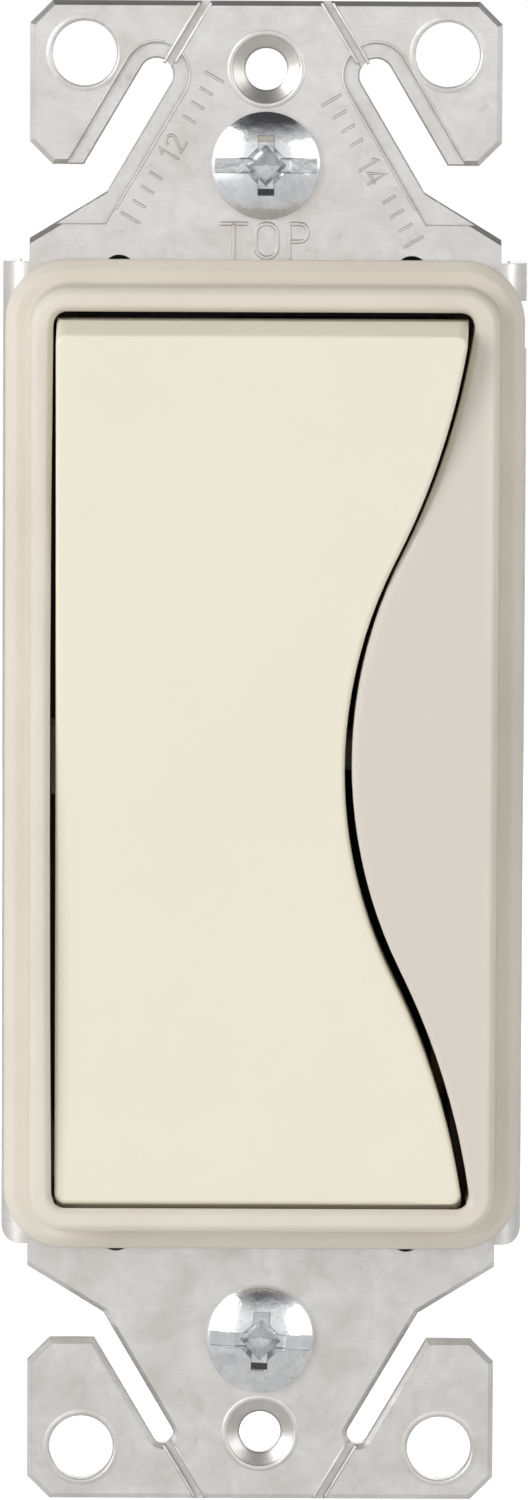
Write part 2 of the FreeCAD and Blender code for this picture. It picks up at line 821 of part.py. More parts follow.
def make_frame():
    body = new_body("front_frame")
    half_width = frame_side
    half_height = frame_top
    flange = rounded_loop(flange_side, flange_top, size("flange_corner"))
    pad(body, "flange", "XZ", flange_level, strap_front, [flange])
    bevel_edges(body, "flange_edge", size("flange_bevel"), lambda edge: flat_at(edge, 1, flange_level))

    # raised frame, drafted so that it narrows towards its face
    growth = (size("face_rise") - size("flange_thick")) * tangent(size("frame_draft"))
    foot = rounded_loop(half_width + growth, half_height + growth, size("frame_corner") + growth)
    raised = pad(body, "raised", "XZ", face_level, flange_level, [foot])
    raised.Profile[0].setExpression("AttachmentOffset.Base.z", (-flange_level).text)
    raised.Reversed = False
    bind(raised, "TaperAngle", -size("frame_draft"))

    # the opening, with soft corners and edges
    opening = curve_loop(ZERO, opening_left, size("opening_bow"), opening_top)
    pocket(body, "opening", "XZ", face_level - PAST, strap_front + PAST, [opening])
    round_edges(
        body,
        "opening_corners",
        size("opening_corner"),
        lambda edge: upright(edge, opening_top),
    )
    inside = opening_left + size("opening_bow") * 2
    bevel_edges(
        body,
        "face_edges",
        size("frame_bevel"),
        lambda edge: flat_at(edge, 1, face_level) and not within(edge, inside, opening_top),
    )
    bevel_edges(
        body,
        "opening_edges",
        size("opening_bevel"),
        lambda edge: flat_at(edge, 1, face_level) and within(edge, inside, opening_top),
    )

    # behind the face the ends of the opening flare round the rocker's own pivot
    start = face_level + size("frame_bevel")
    reach = pivot_level - start
    flare_radius = root(opening_top * opening_top + reach * reach)
    flare_height = opening_top + size("opening_flare")
    flare_level = pivot_level - other_leg(flare_radius, flare_height)
    flare = [
        (start, opening_top - size("frame_bevel")),
        (strap_front + PAST, opening_top - size("frame_bevel")),
        (strap_front + PAST, flare_height),
        (flare_level, flare_height),
        (start, opening_top, flare_radius, 1),
    ]
    left = -opening_left
    right = curve_end(opening_top)
    pocket(body, "flare_top", "YZ", left, right, [flare])
    pocket(body, "flare_bottom", "YZ", left, right, [mirrored(flare, flip_y=True)])

    # hollow behind the fixed panel
    wall = size("frame_wall")
    hollow = beside_curve(wall, half_width - wall, size("panel_hollow_reach"))
    pocket(body, "panel_hollow", "XZ", face_level + wall, strap_front + PAST, [hollow])

    # keepers close the tops of the pivot saddles
    keeper_in = chamber_side + size("keeper_gap")
    keeper_out = chamber_side + size("saddle_length") - size("keeper_gap")
    half = size("keeper_half_width")
    shelf = size("ledge_half_width")
    back = pivot_level - size("pivot_radius") - size("running_gap")
    ledge = strap_front - size("keeper_thick") - size("running_gap")
    ledge_back = strap_front - size("running_gap")
    left_ledge = box_loop(-opening_left - wall / 2, -keeper_in, -shelf, shelf)
    right_ledge = box_loop(keeper_in - size("saddle_length"), half_width - wall / 2, -shelf, shelf)
    pad(body, "keeper_ledges", "XZ", ledge, ledge_back, [left_ledge, right_ledge])
    tongues = [
        box_loop(-keeper_out, -keeper_in, -half, half),
        box_loop(keeper_in, keeper_out, -half, half),
    ]
    pad(body, "keepers", "XZ", ledge, back, tongues)
    ties = [box_loop(size("curve_waist") + wall / 2, keeper_in, -shelf, shelf)]
    pad(body, "keeper_tie", "XZ", ledge, ledge_back, ties)

    # pegs through the strap into the body; the one beside the ground notch stops in the strap
    root_level = strap_front - size("flange_thick") / 2
    half = size("peg_half_width")
    pegs = [square_loop(peg_across * x, peg_up * z, half) for x, z in BODY_PEGS]
    pad(body, "pegs", "XZ", root_level, size("peg_length"), pegs)
    short = square_loop(-peg_across, -peg_up, half)
    pad(body, "short_peg", "XZ", root_level, -size("running_gap"), [short])
    return body


def curve_end(half_height):
    """How far across the S-shaped edge stands at the end of the opening."""
    return curve_loop(ZERO, opening_left, None, half_height)[1][0]


# ---------------------------------------------------------------- rocker

def make_rocker():
    """Built square to the wall and then tilted about its pivot."""
    body = new_body("rocker")
    gap = size("rocker_curve_gap")
    front = pivot_level - rocker_front
    back = front + size("rocker_skirt")
    half = rocker_top
    end_radius = root(half * half + rocker_front * rocker_front)
    skirt_up = other_leg(end_radius, pivot_level - back)
    left = -rocker_left
    right = frame_side

    # side profile: a hollow-ground face between ends that are round about the pivot
    profile = [
        (back, -skirt_up, end_radius, 1),
        (back, skirt_up),
        (front, half, end_radius, 1),
        (front, -half, sag_radius(half, size("rocker_sag")), -1),
    ]
    pad(body, "profile", "YZ", left, right, [profile])
    beside = beside_curve(-gap, right + PAST, skirt_up + PAST)
    pocket(body, "curved_side", "XZ", front - PAST, back + PAST, [beside])
    round_edges(
        body,
        "corners",
        size("rocker_corner"),
        lambda edge: upright(edge, half + size("rocker_end_flare")),
    )
    hollow_ground = front + size("rocker_sag") + size("running_gap")
    round_edges(
        body,
        "face_edges",
        size("rocker_round"),
        lambda edge: edge.BoundBox.YMax < hollow_ground.value,
    )
    ends = [
        box_loop(front - PAST, back + PAST, half + size("rocker_end_flare"), skirt_up + PAST),
        box_loop(front - PAST, back + PAST, -skirt_up - PAST, -half - size("rocker_end_flare")),
    ]
    pocket(body, "ends", "YZ", left - PAST, right + PAST, ends)

    # hollow behind the face
    wall = size("rocker_wall")
    hollow = curve_loop(-gap - wall, rocker_left - wall, None, half - wall)
    pocket(body, "hollow", "XZ", front + size("rocker_sag") + wall, back + PAST, [hollow])

    # two arms, the pivot bar and the sprung hub
    arm = size("arm_half_width")
    left_arm = -chamber_side + size("plunger_gap")
    right_arm = size("curve_waist") - gap
    under = front + size("rocker_sag") + wall / 2
    tip_radius = size("arm_tip_radius")
    for name, low in (("left_arm", left_arm), ("right_arm", right_arm - size("arm_thick"))):
        side = [
            (under, -arm),
            (pivot_level, -tip_radius),
            (pivot_level + tip_radius, ZERO, tip_radius, 1),
            (pivot_level, tip_radius, tip_radius, 1),
            (under, arm),
        ]
        pad(body, name, "YZ", low, low + size("arm_thick"), [side])
    bar_end = chamber_side + size("saddle_length") - size("plunger_gap")
    pad(body, "pivot_bar", "YZ", -bar_end, bar_end, [("circle", pivot_level, ZERO, size("pivot_radius"))])
    hub_end = pivot_level + size("hub_tail")
    pad(body, "hub", "XZ", under, hub_end, [("circle", ZERO, ZERO, size("hub_radius"))])
    bore = size("plunger_radius") + size("running_gap")
    top = pivot_level - size("plunger_bore_top")
    pocket(body, "hub_bore", "XZ", top, hub_end + PAST, [("circle", ZERO, ZERO, bore)])
    return tilted(body, size("rocker_tilt"), pivot_level)


def tilt_about_pivot(angle, level):
    """A turn about a line along X that lies at a level behind the wall plane."""
    turn = FreeCAD.Rotation(FreeCAD.Vector(1, 0, 0), angle.value)
    return FreeCAD.Placement(FreeCAD.Vector(0, 0, 0), turn, FreeCAD.Vector(0, level.value, 0))


def tilted(body, angle, level):
    body.Placement = tilt_about_pivot(angle, level)
    return body


# ---------------------------------------------------------------- snap mechanism

def make_plunger():
    """A spring-loaded follower in the rocker's hub, with a blunt conical nose."""
    body = new_body("plunger")
    radius = size("plunger_radius")
    nose = plunger_tip + pivot_level
    top = pivot_level - size("plunger_grip")
    profile = [
        (ZERO, top),
        (radius, top),
        (radius, nose - radius),
        (size("plunger_tip"), nose),
        (ZERO, nose),
    ]
    revolve(body, "turned", "XY", "V_Axis", profile)
    return tilted(body, size("rocker_tilt"), pivot_level)


def make_spring():
    """A flat-wire coil spring between the bottom of the hub's bore and the plunger."""
    wire = size("spring_wire")
    low = pivot_level - size("plunger_bore_top")
    high = pivot_level - size("plunger_grip")
    height = high - low - wire * 2
    helix = doc.addObject("Part::Helix", "spring_helix")
    bind(helix, "Radius", size("spring_radius"))
    bind(helix, "Height", height)
    bind(helix, "Pitch", height / size("spring_turns"))
    section = doc.addObject("Part::RegularPolygon", "spring_section")
    section.Polygon = 4
    bind(section, "Circumradius", wire)
    bind(section, "Placement.Base.x", size("spring_radius"))
    section.Placement.Rotation = FreeCAD.Rotation(FreeCAD.Vector(1, 0, 0), 90)
    spring = doc.addObject("Part::Sweep", "plunger_spring")
    spring.Sections = [section]
    spring.Spine = (helix, ["Edge1"])
    spring.Solid = True
    spring.Frenet = True
    spring.Label = "plunger_spring"
    coil_axis = FreeCAD.Rotation(FreeCAD.Vector(1, 0, 0), -90)
    start = FreeCAD.Placement(FreeCAD.Vector(0, (low + wire).value, 0), coil_axis)
    spring.Placement = tilt_about_pivot(size("rocker_tilt"), pivot_level).multiply(start)
    return spring


def make_cradle():
    """The seesaw that carries the moving contact: a channel with a groove for its fulcrum."""
    body = new_body("contact_cradle")
    half = size("cradle_half_width")
    back = size("cradle_depth")
    plate = box_loop(-half, half, -size("cradle_down"), size("cradle_up"))
    pad(body, "plate", "XZ", cradle_front, back, [plate])
    lip = size("cradle_lip")
    lips = [
        box_loop(-half, lip - half, -size("cradle_down") / 2, size("cradle_up") / 2),
        box_loop(half - lip, half, -size("cradle_down") / 2, size("cradle_up") / 2),
    ]
    pad(body, "lips", "XZ", cradle_front - size("cradle_lip_rise"), cradle_front, lips)
    groove_radius = size("fulcrum_radius") + size("running_gap")
    pocket(body, "fulcrum_groove", "YZ", -half - PAST, half + PAST, [("circle", back, ZERO, groove_radius)])
    hole = ("circle", ZERO, -size("contact_down"), size("contact_radius") / 2)
    pocket(body, "contact_hole", "XZ", cradle_front - PAST, back + PAST, [hole])
    return tilted(body, -size("cradle_swing"), size("cradle_depth"))


def make_moving_contact():
    """A button with its shank closed over in the cradle's hole."""
    body = new_body("moving_contact")
    back = size("cradle_depth")
    down = -size("contact_down")
    button = ("circle", ZERO, down, size("contact_radius"))
    shank = ("circle", ZERO, down, size("contact_radius") / 2)
    pad(body, "button", "XZ", back, back + size("contact_thick"), [button])
    pad(body, "shank", "XZ", cradle_front, back, [shank])
    return tilted(body, -size("cradle_swing"), size("cradle_depth"))


def make_fixed_contact():
    body = new_body("fixed_contact")
    button = ("circle", ZERO, -size("contact_down"), size("contact_radius"))
    pad(body, "button", "XZ", fixed_contact_level, arm_level, [button])
    return body


def terminal_loops(side):
    """Where a terminal's plate stands, seen from the side, and where its strip lies."""
    up = terminal_up * side
    half = size("terminal_half_height")
    return up - half, up + half


def make_terminal(label, side, strip_end):
    """Brass: a strip along the floor of the body, and a threaded plate at the side opening."""
    body = new_body(label)
    thick = size("brass_thick")
    outer = terminal_across
    half = size("cradle_half_width") - thick / 2
    low, high = terminal_loops(side)
    middle = terminal_up * side
    if side > 0:
        strip = box_loop(-half, half, strip_end, middle - half)
    else:
        strip = box_loop(-half, half, middle + half, strip_end)
    branch = box_loop(-half, outer, middle - half, middle + half)
    pad(body, "strip", "XZ", arm_level, floor_level, [strip])
    pad(body, "branch", "XZ", arm_level, floor_level, [branch])
    front = size("terminal_depth") - size("terminal_half_depth")
    plate = box_loop(front, floor_level, low, high)
    pad(body, "plate", "YZ", outer - thick, outer, [plate])
    thread = ("circle", size("terminal_depth"), middle, size("wire_screw_radius") + size("running_gap"))
    pocket(body, "thread", "YZ", outer - thick - PAST, outer + PAST, [thread])
    return body


def make_line_terminal():
    body = make_terminal("line_terminal", 1, -size("line_strip_reach"))
    half = size("cradle_half_width") - size("brass_thick") / 2
    neck = size("fulcrum_neck")
    pad(body, "fulcrum_neck", "XZ", size("cradle_depth"), arm_level, [box_loop(-half, half, -neck, neck)])
    knife = ("circle", size("cradle_depth"), ZERO, size("fulcrum_radius"))
    pad(body, "fulcrum", "YZ", -half, half, [knife])
    return body


def make_load_terminal():
    return make_terminal("load_terminal", -1, -size("contact_down") + size("contact_radius"))


def make_clamp_plate(label, side):
    """The loose plate that a terminal screw pulls down on the wires."""
    body = new_body(label)
    thick = size("brass_thick")
    inner = terminal_across
    up = terminal_up * side
    reach = size("clamp_half_height")
    deep = size("clamp_half_depth")
    plate = box_loop(
        size("terminal_depth") - deep, size("terminal_depth") + deep, up - reach, up + reach
    )
    pad(body, "plate", "YZ", inner, inner + thick, [plate])
    hole = ("circle", size("terminal_depth"), up, size("wire_screw_radius") + size("running_gap"))
    pocket(body, "hole", "YZ", inner - PAST, inner + thick + PAST, [hole])
    return body


# ---------------------------------------------------------------- screws and retainers

def make_screw(label, profile, head, rise, placement):
    """A slotted screw, turned with its seat at y = 0 and its head towards -Y."""
    body = new_body(label)
    revolve(body, "turned", "XY", "V_Axis", profile)
    half = size("drive_slot") / 2
    slot = box_loop(-head - PAST, head + PAST, -half, half)
    pocket(body, "slot", "XZ", -rise - PAST, -rise + size("drive_depth"), [slot])
    body.Placement = placement
    return body


def place(x, y, z, axis=(0, 1, 0), angle=0.0):
    base = FreeCAD.Vector(x.value, y.value, z.value)
    return FreeCAD.Placement(base, FreeCAD.Rotation(FreeCAD.Vector(*axis), angle))


def make_box_screw(label, side, turn):
    """A truss-head mounting screw, necked where its retainer holds it in the strap."""
    head = size("box_screw_head")
    rise = size("box_screw_rise")
    rim = size("box_screw_rim")
    neck = size("box_screw_neck")
    radius = size("box_screw_radius")
    neck_end = size("strap_thick") + size("retainer_thick") + size("box_screw_play")
    profile = [
        (ZERO, -rise),
        (size("box_screw_crown"), -rise),
        (head, -rim),
        (head, ZERO),
        (neck, ZERO),
        (neck, neck_end),
        (radius, neck_end),
        (radius, size("box_screw_length")),
        (ZERO, size("box_screw_length")),
    ]
    where = place(ZERO, strap_front, box_screw_up * side, (0, 1, 0), turn)
    body = make_screw(label, profile, head, rise, where)
    half = size("drive_slot") / 2
    reach = size("drive_cross") / 2
    cross = box_loop(-half, half, -reach, reach)
    pocket(body, "cross", "XZ", -rise - PAST, -rise + size("drive_cross_depth"), [cross])
    return body


def make_wire_screw(label, where):
    """A binding-head terminal screw."""
    head = size("wire_screw_head")
    rise = size("wire_screw_rise")
    radius = size("wire_screw_radius")
    length = size("wire_screw_length")
    profile = [
        (ZERO, -rise),
        (head, -rise),
        (head, ZERO),
        (radius, ZERO),
        (radius, length),
        (ZERO, length),
    ]
    return make_screw(label, profile, head, rise, where)


def make_side_screw(label, side):
    seat = terminal_across + size("brass_thick")
    where = place(seat, size("terminal_depth"), terminal_up * side, (0, 0, 1), 90)
    return make_wire_screw(label, where)


def make_ground_screw():
    seat = -ground_tab_at - size("strap_thick")
    where = place(-ground_across, size("ground_depth"), seat, (1, 0, 0), 90)
    return make_wire_screw("ground_screw", where)


def make_retainer(label, side):
    """A fibre washer that keeps a mounting screw from falling out of its slot."""
    body = new_body(label)
    half = size("retainer_half")
    middle = box_screw_up * side
    outline = box_loop(-half, half, middle - half, middle + half)
    pad(body, "square", "XZ", 0, size("retainer_thick"), [outline])
    hole = ("circle", ZERO, middle, size("box_screw_neck") + size("running_gap"))
    pocket(body, "hole", "XZ", -PAST, size("retainer_thick") + PAST, [hole])
    return body


def make_rivets():
    """Two rivets from the front of the strap through to the back of the body."""
    body = new_body("body_rivets")
    middles = [(-rivet_across, rivet_up * side) for side in (-1, 1)]
    head = size("rivet_head")
    rise = size("rivet_rise")
    shanks = [("circle", x, z, size("rivet_radius")) for x, z in middles]
    heads = [("circle", x, z, head) for x, z in middles]
    pad(body, "heads", "XZ", strap_front - rise, strap_front, heads)
    pad(body, "shanks", "XZ", strap_front, size("body_depth"), shanks)
    pad(body, "tails", "XZ", size("body_depth"), size("body_depth") + rise, heads)
    return body


# ---------------------------------------------------------------- back body

def make_back_body():
    body = new_body("back_body")
    depth = size("body_depth")
    outline = rounded_loop(body_side, body_top, size("body_corner"))
    pad(body, "block", "XZ", 0, depth, [outline])
    bevel_edges(body, "back_edges", size("body_edge"), lambda edge: flat_at(edge, 1, depth))

    # one open chamber for the mechanism, with a bay at each end for a terminal
    half = chamber_side
    bay = pocket_end
    right = terminal_across
    left = -size("pocket_left")
    chamber = [
        (-half, -size("chamber_down")),
        (left, -size("chamber_down")),
        (left, -bay),
        (right, -bay),
        (right, -size("chamber_down")),
        (half, -size("chamber_down")),
        (half, size("chamber_up")),
        (right, size("chamber_up")),
        (right, bay),
        (left, bay),
        (left, size("chamber_up")),
        (-half, size("chamber_up")),
    ]
    pocket(body, "chamber", "XZ", -PAST, floor_level, [chamber])

    # saddles for the pivot bar, open to the front
    slot = size("pivot_radius") + size("running_gap")
    saddle = [
        (-PAST, -slot),
        (pivot_level, -slot),
        (pivot_level + slot, ZERO, slot, 1),
        (pivot_level, slot, slot, 1),
        (-PAST, slot),
    ]
    reach = half + size("saddle_length")
    pocket(body, "saddles", "YZ", -reach, reach, [saddle])

    # side openings for the terminal screws, and wire holes from the back
    openings = []
    wires = []
    for side in (-1, 1):
        low, high = terminal_loops(side)
        front = size("terminal_depth") - size("terminal_half_depth")
        openings.append(box_loop(front, floor_level, low, high))
        for step in (-1, 1):
            up = terminal_up * side + size("wire_hole_spread") * step
            across = right + size("wire_radius")
            wires.append(("circle", across, up, size("wire_hole_radius")))
    pocket(body, "side_openings", "YZ", right - PAST, body_side + PAST, openings)
    pocket(body, "wire_holes", "XZ", floor_level - PAST, depth + PAST, wires)

    # corner notch for the ground terminal
    low = -body_top - PAST
    notch = box_loop(-body_side - PAST, -notch_across, low, -notch_up)
    pocket(body, "ground_notch", "XZ", -PAST, size("notch_depth"), [notch])

    # sockets for the frame's pegs, and rivet holes
    socket = size("peg_half_width") + size("running_gap")
    pegs = [square_loop(peg_across * x, peg_up * z, socket) for x, z in BODY_PEGS]
    pocket(body, "peg_sockets", "XZ", -PAST, size("peg_length") + PAST, pegs)
    rivets = [
        ("circle", -rivet_across, rivet_up * side, size("rivet_radius"))
        for side in (-1, 1)
    ]
    pocket(body, "rivet_holes", "XZ", -PAST, depth + PAST, rivets)
    return body


# ---------------------------------------------------------------- the parts, checks and files

parts = [
    make_strap(),
    make_frame(),
    make_rocker(),
    make_plunger(),
    make_spring(),
    make_cradle(),
    make_moving_contact(),
    make_fixed_contact(),
    make_line_terminal(),
    make_load_terminal(),
    make_clamp_plate("line_clamp_plate", 1),
    make_clamp_plate("load_clamp_plate", -1),
    make_side_screw("line_terminal_screw", 1),
    make_side_screw("load_terminal_screw", -1),
    make_ground_screw(),
    make_box_screw("mounting_screw_top", 1, 0.0),
    make_box_screw("mounting_screw_bottom", -1, size("box_screw_turn").value),
    make_retainer("screw_retainer_top", 1),
    make_retainer("screw_retainer_bottom", -1),
    make_rivets(),
    make_back_body(),
]
doc.recompute()

for item in doc.Objects:
    if "Invalid" in item.State or "Error" in item.State:
        raise RuntimeError(f"{item.Label} did not build: {item.State}")
for before, feature in cuts:
    if feature.Shape.Volume >= before.Shape.Volume - 1e-6:
        raise RuntimeError(f"{feature.Label} removed nothing")
for part in parts:
    if part.Shape.isNull() or not part.Shape.isValid():
        raise RuntimeError(f"{part.Label} is not a valid solid")

os.makedirs("parts", exist_ok=True)
for part in parts:
    part.Shape.exportStep(f"parts/{part.Label}.step")
    print(f"{part.Label}: {len(part.Shape.Solids)} solid, {part.Shape.Volume:.1f} mm3")
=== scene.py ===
"""Rocker wall switch: finishes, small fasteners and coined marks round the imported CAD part."""

import math

import bmesh
import bpy
from mathutils import Matrix, Vector


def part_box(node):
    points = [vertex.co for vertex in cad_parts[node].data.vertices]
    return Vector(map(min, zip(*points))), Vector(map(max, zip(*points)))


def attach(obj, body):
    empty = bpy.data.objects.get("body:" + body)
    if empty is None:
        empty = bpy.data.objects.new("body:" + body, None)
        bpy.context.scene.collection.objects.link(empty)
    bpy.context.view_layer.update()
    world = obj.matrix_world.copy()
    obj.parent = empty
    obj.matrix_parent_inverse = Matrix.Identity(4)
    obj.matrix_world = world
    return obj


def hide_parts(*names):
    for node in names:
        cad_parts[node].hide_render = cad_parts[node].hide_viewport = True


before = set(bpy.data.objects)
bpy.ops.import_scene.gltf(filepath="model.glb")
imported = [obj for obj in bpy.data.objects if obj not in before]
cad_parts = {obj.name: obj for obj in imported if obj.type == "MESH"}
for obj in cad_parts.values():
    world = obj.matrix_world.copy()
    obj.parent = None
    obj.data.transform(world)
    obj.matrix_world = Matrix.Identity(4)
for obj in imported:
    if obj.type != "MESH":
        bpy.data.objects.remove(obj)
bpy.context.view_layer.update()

MM = 0.001                       # pieces are in millimetres; the stage and its lamps are in metres
TO_LEFT = Matrix.Rotation(math.pi / 2, 4, "Z")      # turns Y to -X
TO_UP = Matrix.Rotation(math.pi / 2, 4, "X")        # turns Y to Z

# ------------------------------------------------------------------ places read from the frame


def box_mm(node):
    """The low and high corners of a CAD node at rest."""
    low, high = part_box(node)
    return low / MM, high / MM


STRAP_LOW, STRAP_HIGH = box_mm("mounting_strap")
STRAP_FACE = STRAP_LOW.y

# ------------------------------------------------------------------ colours and node helpers


def colour(red, green, blue):
    """A display colour, 0 to 255, as the linear colour that shaders take."""
    def linear(value):
        share = value / 255
        return share / 12.92 if share <= 0.04045 else ((share + 0.055) / 1.055) ** 2.4
    return linear(red), linear(green), linear(blue), 1.0


def lighter(tone, rate=1.2):
    """The same hue, lighter for a rate over 1 and darker for one below it."""
    return [min(1.0, share * rate) for share in tone[:3]] + [1.0]


class Nodes:
    """A short way to write a node tree."""

    def __init__(self, tree):
        self.tree = tree
        tree.nodes.clear()

    def add(self, kind, inputs=(), **settings):
        """A new node; a socket given for an input is linked, and a plain value is set."""
        node = self.tree.nodes.new(kind)
        for name, value in settings.items():
            setattr(node, name, value)
        for key, value in dict(inputs).items():
            if isinstance(value, bpy.types.NodeSocket):
                self.tree.links.new(value, node.inputs[key])
            else:
                node.inputs[key].default_value = value
        return node

    def math(self, operation, first, second=0.0, clamp=False):
        inputs = {0: first, 1: second}
        return self.add("ShaderNodeMath", inputs, operation=operation, use_clamp=clamp).outputs[0]

    def remap(self, value, low, high, to_low=0.0, to_high=1.0):
        inputs = {"Value": value, "From Min": low, "From Max": high, "To Min": to_low, "To Max": to_high}
        return self.add("ShaderNodeMapRange", inputs).outputs["Result"]

    def blend(self, factor, first, second):
        inputs = {"Factor": factor, 6: first, 7: second}
        return self.add("ShaderNodeMix", inputs, data_type="RGBA").outputs[2]

    def place(self, stretch=(1, 1, 1)):
        """Places on the piece in millimetres, stretched for a grain that runs one way."""
        source = self.add("ShaderNodeTexCoord").outputs["Object"]
        scale = [share / MM for share in stretch]
        return self.add("ShaderNodeMapping", {"Vector": source, "Scale": scale}).outputs["Vector"]

    def split(self, vector):
        """The X, Y and Z sockets of a vector."""
        return self.add("ShaderNodeSeparateXYZ", {"Vector": vector}).outputs

    def noise(self, place, size, detail=3.0, roughness=0.55, distortion=0.0):
        """Noise whose features are about size millimetres across."""
        inputs = {"Vector": place, "Scale": 1 / size, "Detail": detail, "Roughness": roughness,
                  "Distortion": distortion}
        return self.add("ShaderNodeTexNoise", inputs).outputs["Fac"]

    def bump(self, height, depth, below=None):
        """A bump of depth millimetres for a height from 0 to 1."""
        inputs = {"Height": height, "Strength": 1.0, "Distance": depth * MM}
        if below is not None:
            inputs["Normal"] = below
        return self.add("ShaderNodeBump", inputs).outputs["Normal"]

    def soft(self, radius):
        """The surface normal, rounded off near the edges."""
        return self.add("ShaderNodeBevel", {"Radius": radius * MM}, samples=6).outputs["Normal"]

    def edges(self, radius):
        """1 on sharp edges, 0 on flats."""
        soft = self.soft(radius)
        hard = self.add("ShaderNodeNewGeometry").outputs["Normal"]
        product = self.add("ShaderNodeVectorMath", {0: soft, 1: hard}, operation="DOT_PRODUCT")
        return self.remap(product.outputs["Value"], 0.98, 0.75)


def shader(name, **values):
    """A new material with its node tree and its Principled shader, on which plain values are set."""
    material = bpy.data.materials.new(name)
    material.use_nodes = True
    nodes = Nodes(material.node_tree)
    surface = nodes.add("ShaderNodeBsdfPrincipled")
    out = nodes.add("ShaderNodeOutputMaterial")
    material.node_tree.links.new(surface.outputs["BSDF"], out.inputs["Surface"])
    for key, value in values.items():
        surface.inputs[key.replace("_", " ")].default_value = value
    return material, nodes, surface


def join(nodes, surface, **sockets):
    """Links node outputs to the shader's inputs of the same names."""
    for key, socket in sockets.items():
        nodes.tree.links.new(socket, surface.inputs[key.replace("_", " ")])


def moulded(name, body, shade, gloss, grain=0.35, relief=0.004, specks=0.0, dust=None, soft=0.12,
            tones=None):
    """Moulded plastic: fine orange peel, slow drift in colour, faint specks, paler rubbed edges."""
    material, nodes, surface = shader(name, Specular_IOR_Level=0.45)
    place = nodes.place()
    drift = nodes.noise(place, 14.0, 2.0)
    tint = nodes.blend(nodes.remap(drift, 0.35, 0.65), body, shade)
    if specks:
        dots = nodes.noise(place, 0.22, 1.0, 0.4)
        tint = nodes.blend(nodes.remap(dots, 0.79, 0.83, 0.0, specks), tint, colour(120, 96, 70))
    if tones:
        tint = tones(nodes, place, tint)
    if dust:
        drifts = nodes.noise(place, 3.0, 5.0, 0.65)
        tint = nodes.blend(nodes.remap(drifts, 0.5, 0.75, 0.0, 0.35), tint, dust)
    patchy = nodes.remap(nodes.noise(place, 1.6), 0.3, 0.7, 0.2, 0.6)
    rubbed = nodes.math("MULTIPLY", nodes.edges(0.18), patchy)
    tint = nodes.blend(rubbed, tint, lighter(body, 1.12))
    handled = nodes.noise(place, 5.0, 4.0, 0.6)
    rough = nodes.remap(handled, 0.3, 0.7, gloss - 0.04, gloss + 0.05)
    peel = nodes.bump(nodes.noise(place, grain, 2.0), relief, nodes.soft(soft))
    join(nodes, surface, Base_Color=tint, Roughness=rough, Normal=peel)
    return material


def rolled(name, light, dark, gloss, run="X", metal=0.9, mottle=2.6, streak=0.5, edge_wear_and_shade=0.35, tarnish=None,
           tones=None, outline=None, edge_reach=0.12):
    """Rolled or drawn metal: brushed one way, with cloudy plating, fine scratches, and edges paler with
    wear, which an outline colour turns into painted dark shade.
    """
    material, nodes, surface = shader(name, Metallic=metal, Anisotropic=0.25)
    place = nodes.place()
    long_way = {"X": (0.04, 1, 1), "Z": (1, 1, 0.04), "Y": (1, 0.04, 1)}[run]
    brushed = nodes.noise(nodes.place(long_way), 0.12, 3.0, 0.6)
    clouds = nodes.noise(place, mottle, 5.0, 0.62, 0.4)
    tint = nodes.blend(nodes.remap(clouds, 0.32, 0.68), dark, light)
    streaks = nodes.remap(brushed, 0.3, 0.7, 0.0, streak * 0.3)
    tint = nodes.blend(streaks, tint, lighter(dark, 0.82))
    if tarnish:
        spots = nodes.remap(nodes.noise(place, 1.1, 6.0, 0.7), 0.6, 0.78, 0.0, 0.5)
        tint = nodes.blend(spots, tint, tarnish)
    cells = nodes.add("ShaderNodeTexVoronoi", {"Vector": nodes.place((0.35, 1, 0.9)), "Scale": 0.45},
                      feature="DISTANCE_TO_EDGE").outputs["Distance"]
    scratch = nodes.math("MULTIPLY", nodes.remap(cells, 0.0, 0.012, 1.0, 0.0),
                         nodes.remap(nodes.noise(place, 3.0), 0.5, 0.62))
    # with an outline colour the sharp edges get painted shade; without one they are paler with wear
    edge = nodes.math("MULTIPLY", nodes.edges(edge_reach), edge_wear_and_shade)
    tint = nodes.blend(edge, tint, outline or lighter(light))
    if tones:
        tint = tones(nodes, place, tint)
    rough = nodes.remap(nodes.math("ADD", clouds, brushed), 0.6, 1.4, gloss + 0.08, gloss - 0.06)
    flat = nodes.bump(brushed, 0.0025 * streak)
    relief = nodes.math("SUBTRACT", clouds, nodes.math("MULTIPLY", scratch, 0.4))
    normal = nodes.bump(relief, 0.006, flat)
    join(nodes, surface, Base_Color=tint, Roughness=rough, Normal=normal)
    return material


def plated(name, light, dark, gloss, metal=1.0, grime=None, outline=None):
    """Bright plating on a small piece: ripples, fine pits, dull patches, and edges paler with wear,
    which an outline colour turns into painted dark shade.
    """
    material, nodes, surface = shader(name, Metallic=metal)
    place = nodes.place()
    patches = nodes.noise(place, 1.3, 5.0, 0.65, 0.6)
    tint = nodes.blend(nodes.remap(patches, 0.35, 0.65), dark, light)
    if grime:
        low = nodes.remap(nodes.noise(place, 0.5, 6.0, 0.75), 0.56, 0.74, 0.0, 0.55)
        tint = nodes.blend(low, tint, grime)
    # with an outline colour the sharp edges get painted shade; without one they are paler with wear
    edge = nodes.math("MULTIPLY", nodes.edges(0.1 if outline else 0.08), 1.0 if outline else 0.4)
    tint = nodes.blend(edge, tint, outline or lighter(light))
    rough = nodes.remap(patches, 0.3, 0.7, gloss + 0.1, gloss - 0.04)
    ripple = nodes.bump(nodes.noise(place, 0.7, 2.0), 0.02)
    pits = nodes.bump(nodes.noise(place, 0.09, 2.0), 0.002, ripple)
    join(nodes, surface, Base_Color=tint, Roughness=rough, Normal=pits)
    return material


